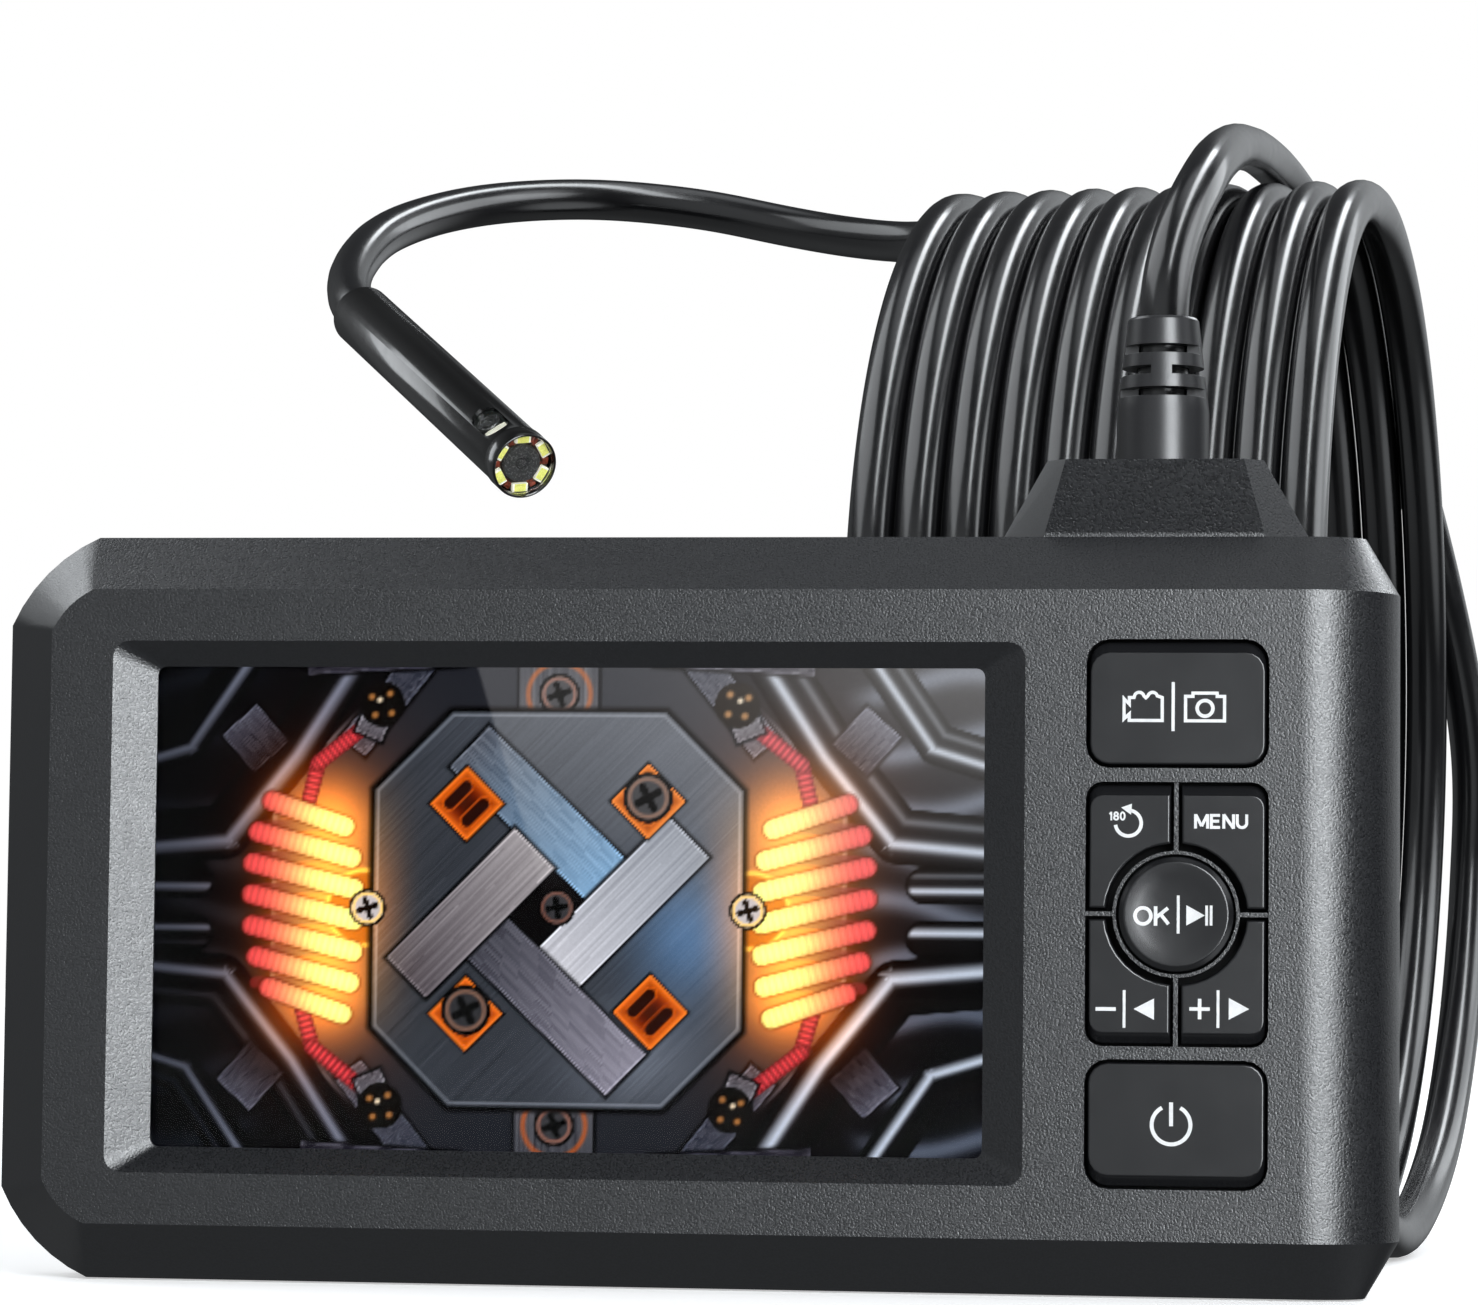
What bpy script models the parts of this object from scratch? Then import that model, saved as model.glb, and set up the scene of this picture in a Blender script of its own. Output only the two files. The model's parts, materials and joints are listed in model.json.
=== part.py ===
"""Inspection camera: a hand-held monitor with seven keys, and a two-lens probe on a coiled cable.

Lengths below are millimetres. X runs to the right, Y to the back, Z up, and the monitor stands on
its bottom edge at Z = 0. Every visible object is one physical piece.
"""

import math

import bmesh
import bpy
from mathutils import Vector

MM = 0.001

# The monitor's case.
HALF_W = 80.3
CASE_H = 85.7
FRONT_Y = -12.0
BACK_Y = 12.0
EDGE = 6.5
EDGE_RIGHT = 3.8
BACK_EDGE = 4.0
CORNER = 10.3
ARC_BULGE = 0.095
ROUND = 11.0
ROUND_STEPS = 12
WALL = 2.4
FRONT_WALL = 3.0
SPLIT_Y = 1.0
SEAM = 0.6

# The screen opening and the sloped frame round it.
SCREEN = (-61.7, 33.85, 15.3, 70.4)
BEZEL = (-66.5, 38.55, 12.4, 73.25)
BEZEL_DEPTH = 2.2
LIP = 0.4

# The keys.
KEY_X = (45.4, 65.8)
RECORD_Z = (59.15, 73.6)
CLUSTER_Z = (28.1, 57.6)
POWER_Z = (12.25, 26.65)
OK_AT = (55.5, 42.85)
OK_R = 6.45
RING = (6.72, 7.1)
ARC_R = 7.85
RIB = 0.5
KEY_GAP = 0.32
KEY_FACE_Y = -11.8
KEY_BACK_Y = -8.2
KEY_BEVEL = 1.05
STEM_Y = -6.9
KEYPAD_Y = (-4.6, -3.4)

# The cable boss on top, and the strain relief in it.
BOSS_X = 52.6
BOSS_TOP = 94.6
RELIEF_X = 53.25
RELIEF_TOP = 111.4

# The cable and its coil, whose axis is turned a little from X.
CABLE_R = 2.75
COIL_AT = (51.0, 88.5, 70.15)
COIL_YAW = 8.0
COIL_R = 67.4
PITCH = 5.85
TURNS = 9

# The probe.
PROBE_TIP = (-23.5, 15.0, 96.1)
PROBE_DIR = (0.507, -0.753, -0.421)
PROBE_SIDE = (-0.319, -0.615, 0.721)
PROBE_L = 58.0
PROBE_R = 3.95
CAP_R = 4.08
CAP_L = 3.0


def clear_scene():
    for old in list(bpy.data.objects):
        bpy.data.objects.remove(old, do_unlink=True)
    bpy.context.scene.unit_settings.scale_length = 1.0


def material(name, colour, metallic=0.0, roughness=0.5, transmission=0.0):
    made = bpy.data.materials.new(name)
    made.use_nodes = True
    shader = made.node_tree.nodes["Principled BSDF"]
    shader.inputs["Base Color"].default_value = (*colour, 1.0)
    shader.inputs["Metallic"].default_value = metallic
    shader.inputs["Roughness"].default_value = roughness
    shader.inputs["Transmission Weight"].default_value = transmission
    return made


def collection(name):
    if name not in bpy.data.collections:
        made = bpy.data.collections.new(name)
        bpy.context.scene.collection.children.link(made)
    return bpy.data.collections[name]


def piece(name, bm, mat=None, helper=False):
    """An object from a mesh in millimetres."""
    bmesh.ops.scale(bm, vec=(MM, MM, MM), verts=bm.verts)
    mesh = bpy.data.meshes.new(name)
    bm.to_mesh(mesh)
    bm.free()
    obj = bpy.data.objects.new(name, mesh)
    collection("cutters" if helper else "parts").objects.link(obj)
    if mat:
        mesh.materials.append(mat)
    if helper:
        obj.hide_render = True
        obj.display_type = "WIRE"
    return obj


def boolean(obj, operation, bm, label):
    """Cuts a closed mesh from obj, or joins it on."""
    tool = piece(f"{obj.name}-{label}", bm, helper=True)
    step = obj.modifiers.new(label, "BOOLEAN")
    step.operation = operation
    step.solver = "EXACT"
    step.object = tool


def cut(obj, bm, label):
    boolean(obj, "DIFFERENCE", bm, label)


def join(obj, bm, label):
    boolean(obj, "UNION", bm, label)


def outward(bm):
    bmesh.ops.recalc_face_normals(bm, faces=bm.faces)
    if bm.calc_volume(signed=True) < 0:
        bmesh.ops.reverse_faces(bm, faces=bm.faces)
    return bm


def hull(points):
    bm = bmesh.new()
    for point in points:
        bm.verts.new(point)
    bmesh.ops.remove_doubles(bm, verts=bm.verts, dist=1e-4)
    made = bmesh.ops.convex_hull(bm, input=bm.verts, use_existing_faces=False)
    spare = [v for v in made["geom_interior"] if isinstance(v, bmesh.types.BMVert)]
    bmesh.ops.delete(bm, geom=spare, context="VERTS")
    bmesh.ops.dissolve_limit(bm, angle_limit=0.003, verts=bm.verts, edges=bm.edges)
    return outward(bm)


def loft(loops):
    """A closed solid through loops that have the same number of points."""
    bm = bmesh.new()
    rings = [[bm.verts.new(p) for p in loop] for loop in loops]
    for a, b in zip(rings, rings[1:]):
        count = len(a)
        for i in range(count):
            bm.faces.new((a[i], a[(i + 1) % count], b[(i + 1) % count], b[i]))
    bm.faces.new(rings[0])
    bm.faces.new(rings[-1])
    return outward(bm)


def merged(*parts):
    """Several closed meshes as one mesh. They must not meet."""
    out = bmesh.new()
    for part in parts:
        mesh = bpy.data.meshes.new("part")
        part.to_mesh(mesh)
        part.free()
        out.from_mesh(mesh)
        bpy.data.meshes.remove(mesh)
    return out


def box(x0, x1, y0, y1, z0, z1):
    loop = [(x0, z0), (x1, z0), (x1, z1), (x0, z1)]
    return loft([[(x, y, z) for x, z in loop] for y in (y0, y1)])


def at_y(outline, y):
    return [(x, y, z) for x, z in outline]


def prism(outline, y0, y1):
    return loft([at_y(outline, y0), at_y(outline, y1)])


def rounded(x0, x1, z0, z1, r, n=4):
    """A rectangle with round corners, anticlockwise from the bottom left."""
    out = []
    spots = ((x0, z0, 180), (x1, z0, 270), (x1, z1, 0), (x0, z1, 90))
    for x, z, start in spots:
        cx = x + r if x == x0 else x - r
        cz = z + r if z == z0 else z - r
        for i in range(n + 1):
            t = math.radians(start + 90 * i / n)
            out.append((cx + r * math.cos(t), cz + r * math.sin(t)))
    return out


def frame_along(direction, side=(0, 0, 1)):
    """Two unit vectors square to a direction, the first nearest to side."""
    d = Vector(direction).normalized()
    u = (Vector(side) - d * d.dot(Vector(side))).normalized()
    return d, u, d.cross(u)


def turned(profile, origin, direction, n=24, side=(0.1, 0.2, 1)):
    """A turned solid. The profile lists (radius, distance along the axis). Radius 0 is a pole."""
    d, u, v = frame_along(direction, side)
    origin = Vector(origin)
    bm = bmesh.new()
    rings = []
    for r, h in profile:
        if r < 1e-6:
            rings.append([bm.verts.new(origin + d * h)])
            continue
        angles = [math.tau * i / n for i in range(n)]
        spokes = [(u * math.cos(t) + v * math.sin(t)) * r for t in angles]
        rings.append([bm.verts.new(origin + d * h + spoke) for spoke in spokes])
    pairs = list(zip(rings, rings[1:]))
    if len(rings[0]) > 1:
        pairs.append((rings[-1], rings[0]))
    for a, b in pairs:
        for i in range(n):
            j = (i + 1) % n
            if len(a) == 1 and len(b) == 1:
                continue
            if len(a) == 1:
                bm.faces.new((a[0], b[i], b[j]))
            elif len(b) == 1:
                bm.faces.new((a[i], b[0], a[j]))
            else:
                bm.faces.new((a[i], b[i], b[j], a[j]))
    return outward(bm)


def rod(r, h0, h1, origin, direction, n=24, ease=0.0):
    """A solid cylinder, with an optional small chamfer at both ends."""
    if ease:
        profile = [(0, h0), (r - ease, h0), (r, h0 + ease), (r, h1 - ease), (r - ease, h1), (0, h1)]
    else:
        profile = [(0, h0), (r, h0), (r, h1), (0, h1)]
    return turned(profile, origin, direction, n)


def pipe(r_in, r_out, h0, h1, origin, direction, n=24):
    return turned([(r_in, h0), (r_out, h0), (r_out, h1), (r_in, h1)], origin, direction, n)


def smooth(points, per_span):
    """A Catmull-Rom curve through the points."""
    pts = [Vector(p) for p in points]
    pts = [pts[0] * 2 - pts[1], *pts, pts[-1] * 2 - pts[-2]]
    out = []
    for a, b, c, d in zip(pts, pts[1:], pts[2:], pts[3:]):
        for i in range(per_span):
            t = i / per_span
            out.append(0.5 * (2 * b + (c - a) * t + (2 * a - 5 * b + 4 * c - d) * t**2
                              + (3 * b - a - 3 * c + d) * t**3))
    out.append(pts[-2])
    return out


def tube(points, r, n=10):
    """A round bar along a path, whose rings don't twist."""
    loops = []
    side = Vector((0.3, -0.9, 0.2))
    for i, here in enumerate(points):
        ahead = points[min(i + 1, len(points) - 1)] - points[max(i - 1, 0)]
        d, u, v = frame_along(ahead, side)
        side = u
        angles = [math.tau * k / n for k in range(n)]
        loops.append([here + (u * math.cos(t) + v * math.sin(t)) * r for t in angles])
    return loft(loops)


# ---------------------------------------------------------------- the case


def arc(start, end, n=6, bulge=ARC_BULGE):
    """Points of a shallow arc that bulges to the left of start-to-end."""
    a, b = Vector(start), Vector(end)
    chord = (b - a).length
    rise = bulge * chord
    radius = (chord**2 / 4 + rise**2) / (2 * rise)
    normal = Vector((-(b - a).y, (b - a).x)) / chord
    centre = (a + b) / 2 - normal * (radius - rise)
    half = math.asin(chord / 2 / radius)
    out = []
    for i in range(n + 1):
        t = half - 2 * half * i / n
        out.append(centre + normal * radius * math.cos(t) - (b - a) / chord * radius * math.sin(t))
    return [(p.x, p.y) for p in out]


def case_points(w=0.0, w_front=0.0):
    """The points whose hull is the case, set in by w on every side and by w_front at the front."""
    ease = 0.586 * w
    x0, x1 = -HALF_W + w, HALF_W - w
    z0, z1 = w, CASE_H - w
    y0, y1 = FRONT_Y + w_front, BACK_Y - w
    edge, back, corner = EDGE - ease, BACK_EDGE - ease, CORNER - ease
    right = EDGE_RIGHT - 0.4 * w
    radius = ROUND - w
    mid = CASE_H / 2
    points = []
    for sign in (1, -1):
        top = z1 if sign > 0 else z0
        shape = arc((x0, top - sign * corner), (x0 + corner, top), bulge=sign * ARC_BULGE)
        for y in (y0 + edge, y1 - back):
            points += [(x, y, z) for x, z in shape]
        for y, inset in ((y0, edge), (y1, back)):
            k = (corner - 0.82 * inset) / corner
            shape = arc(
                (x0 + inset, top - sign * (inset + corner * k)),
                (x0 + inset + corner * k, top - sign * inset),
                bulge=sign * ARC_BULGE,
            )
            points += [(x, y, z) for x, z in shape]
        cx, cy = x1 - radius, y0 + radius
        level = top - sign * edge
        for i in range(ROUND_STEPS + 1):
            t = math.radians(90 * i / ROUND_STEPS)
            points.append((cx + radius * math.sin(t), cy - radius * math.cos(t), level))
            flat = (radius - right) * math.sin(t)
            points.append((cx + flat, cy - (radius - edge) * math.cos(t), top))
        points.append((x1, y1 - back, level))
        points.append((x1 - right, y1 - back, top))
        points.append((x1 - back, y1, level))
        points.append((x1 - back - right * 0.5, y1, top - sign * back))
    return [(x, y, mid if abs(z - mid) < 1e-9 else z) for x, y, z in points]


def boss_hull():
    """The cable boss: a block with sloped sides and bevelled corners, sunk into the case."""
    points = []
    low, high = CASE_H - 2.0, BOSS_TOP
    for z, hx, cut_x, y0, y1, cut_y in (
        (low, 18.7, 5.6, -5.45, 7.5, 4.4),
        (high, 12.3, 2.2, -5.3, 7.2, 2.0),
    ):
        for side in (-1, 1):
            x = BOSS_X + side * hx
            points += [(x, y0 + cut_y, z), (x - side * cut_x, y0, z)]
            points += [(x, y1 - cut_y, z), (x - side * cut_x, y1, z)]
    return hull(points)


def keep_front(bm, y, front=True):
    """Cuts a closed mesh off at a plane, and closes it there."""
    geom = list(bm.verts) + list(bm.edges) + list(bm.faces)
    bmesh.ops.bisect_plane(
        bm, geom=geom, plane_co=(0, y, 0), plane_no=(0, 1 if front else -1, 0), clear_outer=True
    )
    rim = [e for e in bm.edges if e.is_boundary]
    bmesh.ops.holes_fill(bm, edges=rim, sides=0)
    return outward(bm)


CASE_SCREWS = ((-71.6, 12.4), (-71.6, 73.3), (-14.0, 5.9), (-14.0, 79.8), (73.0, 10.6), (73.0, 75.1))
BOARD_SCREWS = ((17.5, 9.5), (17.5, 64.5))


def screw_mesh(x, z, head_y, head_r, head_t, shank_r, tip_y):
    """A pan head screw whose head faces the back when tip_y is in front of it."""
    way = 1 if head_y > tip_y else -1
    length = abs(head_y - tip_y)
    profile = [(0, 0), (head_r - 0.3, 0), (head_r, 0.3), (head_r, head_t), (shank_r, head_t)]
    profile += [(shank_r, length - 0.5), (shank_r * 0.5, length), (0, length)]
    bm = turned(profile, (x, head_y, z), (0, -way, 0), 12)
    return bm


def corner_outline(right, top, grow=0.0, bevel=0.0):
    """One of the four keys round OK. Its inner corner is an arc. grow > 0 gives its hole."""
    sx, sz = (1 if right else -1), (1 if top else -1)
    outer_x = KEY_X[1] if right else KEY_X[0]
    outer_z = CLUSTER_Z[1] if top else CLUSTER_Z[0]
    gap = KEY_GAP - grow
    x_far = outer_x - sx * gap
    z_far = outer_z - sz * (gap + bevel)
    x_near = OK_AT[0] + sx * (RIB / 2 + gap)
    z_near = OK_AT[1] + sz * (RIB / 2 + gap)
    arc_r = RING[1] if grow >= KEY_GAP else ARC_R + (gap - KEY_GAP)
    r = max(1.9 - gap, 0.6)
    out = []
    for i in range(5):
        t = math.radians(90 * i / 4)
        out.append((x_far - sx * r * (1 - math.cos(t)), z_far - sz * r * (1 - math.sin(t))))
    dx = abs(x_near - OK_AT[0])
    dz = abs(z_near - OK_AT[1])
    t0, t1 = math.acos(dx / arc_r), math.asin(dz / arc_r)
    for i in range(9):
        t = t0 + (t1 - t0) * i / 8
        out.append((OK_AT[0] + sx * arc_r * math.cos(t), OK_AT[1] + sz * arc_r * math.sin(t)))
    out.insert(5, (x_near, z_far))
    out.append((x_far, z_near))
    return out


def make_front_shell(mat):
    shell = piece("front_shell", keep_front(hull(case_points()), SPLIT_Y - SEAM / 2), mat)
    join(shell, keep_front(boss_hull(), SPLIT_Y - SEAM / 2), "boss")
    hollow = keep_front(hull(case_points(WALL, FRONT_WALL)), SPLIT_Y + 3)
    cut(shell, hollow, "hollow")
    posts = []
    for x, z in CASE_SCREWS:
        start = -10.2 if x < -50 else -8.2
        profile = [(0, start), (2.6, start), (2.6, 0.3), (1.25, 0.3), (1.25, -7.2), (0, -7.2)]
        posts.append(turned(profile, (x, 0, z), (0, 1, 0), 12))
    join(shell, merged(*posts), "posts")
    bx, sx = BEZEL, SCREEN
    deep = FRONT_Y + BEZEL_DEPTH
    k = 0.5 / BEZEL_DEPTH
    over = [b + (b - s) * k for b, s in zip(bx, sx)]
    opening = loft(
        [
            at_y(rounded(*over, 2.1), FRONT_Y - 0.5),
            at_y(rounded(*sx, 1.0), deep),
            at_y(rounded(*sx, 1.0), deep + LIP),
            at_y(rounded(sx[0] - 2, sx[1] + 2, sx[2] - 2, sx[3] + 2, 1.0), deep + LIP),
            at_y(rounded(sx[0] - 2, sx[1] + 2, sx[2] - 2, sx[3] + 2, 1.0), -8.0),
        ]
    )
    cut(shell, opening, "screen")
    cut(shell, prism(rounded(*KEY_X, *RECORD_Z, 2.6), -13, -7), "record_hole")
    cut(shell, prism(rounded(*KEY_X, *POWER_Z, 2.6), -13, -7), "power_hole")
    cut(shell, prism(rounded(*KEY_X, *CLUSTER_Z, 1.9), -13, FRONT_Y + 0.45), "cluster_sink")
    holes = [
        prism(corner_outline(right, top, grow=KEY_GAP), -13, -7)
        for right in (0, 1)
        for top in (0, 1)
    ]
    cut(shell, merged(*holes, rod(RING[0], 0, 6, (OK_AT[0], -13, OK_AT[1]), (0, 1, 0), 40)), "cluster_holes")
    cut(shell, relief_space(), "relief")
    cut(shell, flange_box(0.3), "flange")
    return shell


def relief_space():
    """The room that the strain relief and the cable need in the two shells."""
    profile = [(0, 80), (3.1, 80), (3.1, 87.1), (4.2, 87.1), (4.2, 89.1), (5.5, 89.1), (5.5, 97), (0, 97)]
    return turned(profile, (RELIEF_X, SPLIT_Y, 0), (0, 0, 1), 20)


def flange_box(spare=0.0):
    """The strain relief's flange. With some spare it is the flange's pocket."""
    x, y = RELIEF_X, SPLIT_Y
    return box(x - 6.6 - spare, x + 6.6 + spare, y - 4.2 - spare, y + 4.2 + spare, 86.7 - spare, 88.2 + spare)


PORT_Z = (26.0, 60.0)
USB_AT = (3.9, 50.5)
SD_AT = (3.0, 35.5)


def make_rear_shell(mat):
    shell = piece("rear_shell", keep_front(hull(case_points()), SPLIT_Y + SEAM / 2, front=False), mat)
    join(shell, keep_front(boss_hull(), SPLIT_Y + SEAM / 2, front=False), "boss")
    cut(shell, keep_front(hull(case_points(WALL, WALL)), SPLIT_Y - 2, front=False), "hollow")
    cut(shell, box(HALF_W - 1.1, HALF_W + 1, 1.9, 7.4, PORT_Z[0], PORT_Z[1]), "port_recess")
    usb = rounded(USB_AT[0] - 1.75, USB_AT[0] + 1.75, USB_AT[1] - 4.6, USB_AT[1] + 4.6, 1.7, 4)
    usb_hole = loft([[(x, y, z) for y, z in usb] for x in (HALF_W - 4, HALF_W + 1)])
    sd_hole = box(HALF_W - 4, HALF_W + 1, SD_AT[0] - 0.7, SD_AT[0] + 0.7, SD_AT[1] - 6, SD_AT[1] + 6)
    cut(shell, merged(usb_hole, sd_hole), "ports")
    grooves = [box(-66 + 7 * i, -63 + 7 * i, BACK_Y - 0.6, BACK_Y + 1, 18, 68) for i in range(3)]
    grooves += [box(44 + 7 * i, 47 + 7 * i, BACK_Y - 0.6, BACK_Y + 1, 18, 68) for i in range(3)]
    cut(shell, merged(*grooves), "grip")
    cut(shell, relief_space(), "relief")
    cut(shell, flange_box(0.3), "flange")
    face = SPLIT_Y + SEAM / 2
    posts = []
    for x, z in CASE_SCREWS:
        profile = [(1.35, face), (2.9, face), (2.9, 10.6), (1.35, 10.6)]
        posts.append(turned(profile, (x, 0, z), (0, 1, 0), 12))
    for x, z in BOARD_SCREWS:
        profile = [(0, 7.6), (1.0, 7.6), (1.0, 2.3), (2.3, 2.3), (2.3, 10.6), (0, 10.6)]
        posts.append(turned(profile, (x, 0, z), (0, 1, 0), 10))
    join(shell, merged(*posts), "posts")
    heads = [rod(2.35, 0, 6, (x, 7.2, z), (0, 1, 0), 12) for x, z in CASE_SCREWS]
    cut(shell, merged(*heads), "screw_heads")
    return shell


def make_case_seal(mat):
    """The rubber strip in the seam. It is open where the cable comes in."""
    y0, y1 = SPLIT_Y - 0.22, SPLIT_Y + 0.22
    outer = keep_front(keep_front(hull(case_points(0.8, 0.8)), y1), y0, front=False)
    seal = piece("case_seal", outer, mat)
    inner = keep_front(keep_front(hull(case_points(1.8, 1.8)), y1 + 1), y0 - 1, front=False)
    cut(seal, inner, "inner")
    cut(seal, box(RELIEF_X - 7.6, RELIEF_X + 7.6, y0 - 1, y1 + 1, 80, 90), "cable_gap")


# ---------------------------------------------------------------- the display and the boards


def make_display(glass, dark, black, steel):
    x0, x1, z0, z1 = SCREEN
    wide = (x0 - 1.75, x1 + 1.75, z0 - 1.75, z1 + 1.75)
    piece("display_window", prism(rounded(*wide, 0.9, 2), -9.3, -8.2), glass)
    foam = piece("display_gasket", prism(rounded(*wide, 0.9, 1), -8.05, -7.4), black)
    cut(foam, prism(rounded(x0 - 0.6, x1 + 0.6, z0 - 0.6, z1 + 0.6, 0.6, 1), -9, -7), "middle")
    panel = (-67.0, 39.0, 9.4, 76.4)
    loop = rounded(*panel, 0.5, 1)
    piece("display_panel", prism(loop, -7.25, -4.6), dark)
    tray = (panel[0] - 0.6, panel[1] + 0.6, panel[2] - 0.6, panel[3] + 0.6)
    frame = piece("display_frame", prism(rounded(*tray, 0.6, 1), -6.6, -3.9), steel)
    pocket = (panel[0] - 0.2, panel[1] + 0.2, panel[2] - 0.2, panel[3] + 0.2)
    cut(frame, prism(rounded(*pocket, 0.5, 1), -8, -4.4), "pocket")


def make_boards(green, cell, foam_mat):
    x0, x1, z0, z1 = 42.6, 68.4, 9.0, 76.6
    piece("keypad_board", prism(rounded(x0, x1, z0, z1, 0.8, 1), *KEYPAD_Y), green)
    main = piece("main_board", prism(rounded(13.0, 76.0, 5.0, 69.5, 1.0, 1), 0.8, 2.0), green)
    holes = [rod(1.3, 0, 4, (x, 0, z), (0, 1, 0), 12) for x, z in BOARD_SCREWS]
    cut(main, merged(*holes), "holes")
    notch = box(69.5, 78, 0, 3, 0, 15)
    cut(main, notch, "notch")
    piece("battery_pack", prism(rounded(-61.0, 9.0, 11.0, 71.0, 2.0, 3), -2.6, 7.4), cell)
    piece("battery_pad", prism(rounded(-56.0, 4.0, 18.0, 64.0, 1.0, 1), 7.7, 9.3), foam_mat)


def key_centres():
    return {
        "record": (55.6, 66.4),
        "rotate": (49.4, 52.4),
        "menu": (61.8, 52.4),
        "ok": OK_AT,
        "minus": (49.4, 33.3),
        "plus": (61.8, 33.3),
        "power": (55.6, 19.45),
    }


def key_body(outline_of, top_bevel):
    """Loops of a key from its back to its face."""
    base = outline_of(0.0, 0.0)
    shoulder = KEY_FACE_Y + 0.85
    rows = [at_y(base, KEY_BACK_Y), at_y(base, shoulder)]
    rows.append(at_y(outline_of(0.06, KEY_BEVEL * top_bevel - 0.06), KEY_FACE_Y + 0.16))
    rows.append(at_y(outline_of(0.24, KEY_BEVEL * top_bevel - 0.1), KEY_FACE_Y))
    return loft(rows)


def wide_outline(span, top):
    """The outline of the record or power key, set in by inset, and by bevel more on one long side."""

    def outline(inset, bevel):
        gap = KEY_GAP + inset
        z0 = span[0] + gap + (0 if top else bevel)
        z1 = span[1] - gap - (bevel if top else 0)
        r = max(2.6 - gap, 0.6)
        return rounded(KEY_X[0] + gap, KEY_X[1] - gap, z0, z1, r)

    return outline


def make_keys(mat):
    at = key_centres()
    bodies = {
        "record": key_body(wide_outline(RECORD_Z, True), 1),
        "power": key_body(wide_outline(POWER_Z, False), 1),
    }
    for name, right, top in (("rotate", 0, 1), ("menu", 1, 1), ("minus", 0, 0), ("plus", 1, 0)):
        bodies[name] = key_body(
            lambda inset, bevel, r=right, t=top: corner_outline(r, t, grow=-inset, bevel=bevel), 1
        )
    dish = [(0, -11.55), (2.4, -11.6), (4.4, -11.78), (5.6, -12.0), (5.85, -12.0), (OK_R, -11.5)]
    profile = dish + [(OK_R, KEY_BACK_Y), (0, KEY_BACK_Y)]
    bodies["ok"] = turned(profile, (OK_AT[0], 0, OK_AT[1]), (0, 1, 0), 40)
    for name, bm in bodies.items():
        x, z = at[name]
        key = piece(f"{name}_button", bm, mat)
        join(key, rod(1.0, 0, STEM_Y - KEY_BACK_Y + 0.8, (x, KEY_BACK_Y - 0.8, z), (0, 1, 0), 12), "stem")


def make_mat(mat):
    sheet = piece("button_mat", prism(rounded(43.4, 67.8, 10.4, 75.4, 1.2, 2), -7.3, -6.75), mat)
    holes = [rod(1.6, 0, 3, (x, -8.5, z), (0, 1, 0), 12) for x, z in key_centres().values()]
    cut(sheet, merged(*holes), "holes")


def make_switches(mat):
    for index, (x, z) in enumerate(key_centres().values(), 1):
        base = rounded(x - 2.25, x + 2.25, z - 2.25, z + 2.25, 0.3, 1)
        switch = piece(f"tact_switch_{index}", prism(base, -5.75, -4.75), mat)
        join(switch, rod(1.15, 0, 0.8, (x, -6.2, z), (0, 1, 0), 12), "plunger")


def make_ports(steel, rubber):
    y, z = USB_AT
    outer = rounded(y - 1.55, y + 1.55, z - 4.4, z + 4.4, 1.5, 4)
    usb = piece("usb_c_socket", loft([[(x, b, c) for b, c in outer] for x in (69.6, 77.4)]), steel)
    inner = rounded(y - 1.2, y + 1.2, z - 4.05, z + 4.05, 1.18, 4)
    cut(usb, loft([[(x, b, c) for b, c in inner] for x in (72.5, 79)]), "mouth")
    y, z = SD_AT
    slot = piece("sd_card_slot", box(62.5, 77.2, 2.2, 3.8, z - 6.6, z + 6.6), steel)
    cut(slot, box(63.5, 79, 2.55, 3.45, z - 5.7, z + 5.7), "mouth")
    flap = rounded(2.15, 7.15, PORT_Z[0] + 0.3, PORT_Z[1] - 0.3, 0.5, 2)
    cover = piece("port_cover", loft([[(x, b, c) for b, c in flap] for x in (HALF_W - 0.85, HALF_W)]), rubber)
    plug = rounded(USB_AT[0] - 0.95, USB_AT[0] + 0.95, USB_AT[1] - 3.7, USB_AT[1] + 3.7, 0.9, 2)
    join(cover, loft([[(x, b, c) for b, c in plug] for x in (HALF_W - 2.2, HALF_W - 0.5)]), "plug")


def make_screws(steel):
    for index, (x, z) in enumerate(CASE_SCREWS, 1):
        screw = piece(f"case_screw_{index}", screw_mesh(x, z, 9.0, 2.05, 1.6, 1.0, -6.0), steel)
        cut(screw, cross(x, z, 8.3, 9.6), "slot")
    for index, (x, z) in enumerate(BOARD_SCREWS, 1):
        piece(f"board_screw_{index}", screw_mesh(x, z, -0.9, 1.9, 1.4, 0.8, 6.0), steel)


def cross(x, z, y0, y1):
    """A cross-head recess as one closed mesh."""
    a, b = 1.05, 0.24
    outline = [(-b, -a), (b, -a), (b, -b), (a, -b), (a, b), (b, b)]
    outline += [(b, a), (-b, a), (-b, b), (-a, b), (-a, -b), (-b, -b)]
    return prism([(x + p, z + q) for p, q in outline], y0, y1)


# ---------------------------------------------------------------- the cable


def coil_axes():
    yaw = math.radians(COIL_YAW)
    return Vector((math.cos(yaw), -math.sin(yaw), 0)), Vector((math.sin(yaw), math.cos(yaw), 0))


def coil_point(angle, radius, along):
    """A point by its angle from the back over the top, its radius and its distance along the axis."""
    axis, back = coil_axes()
    t = math.radians(angle)
    up = Vector((0, 0, 1))
    return Vector(COIL_AT) + axis * along + back * radius * math.cos(t) + up * radius * math.sin(t)


FIRST_TOP = 26.0
LAST_TOP = FIRST_TOP - PITCH * TURNS


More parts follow.
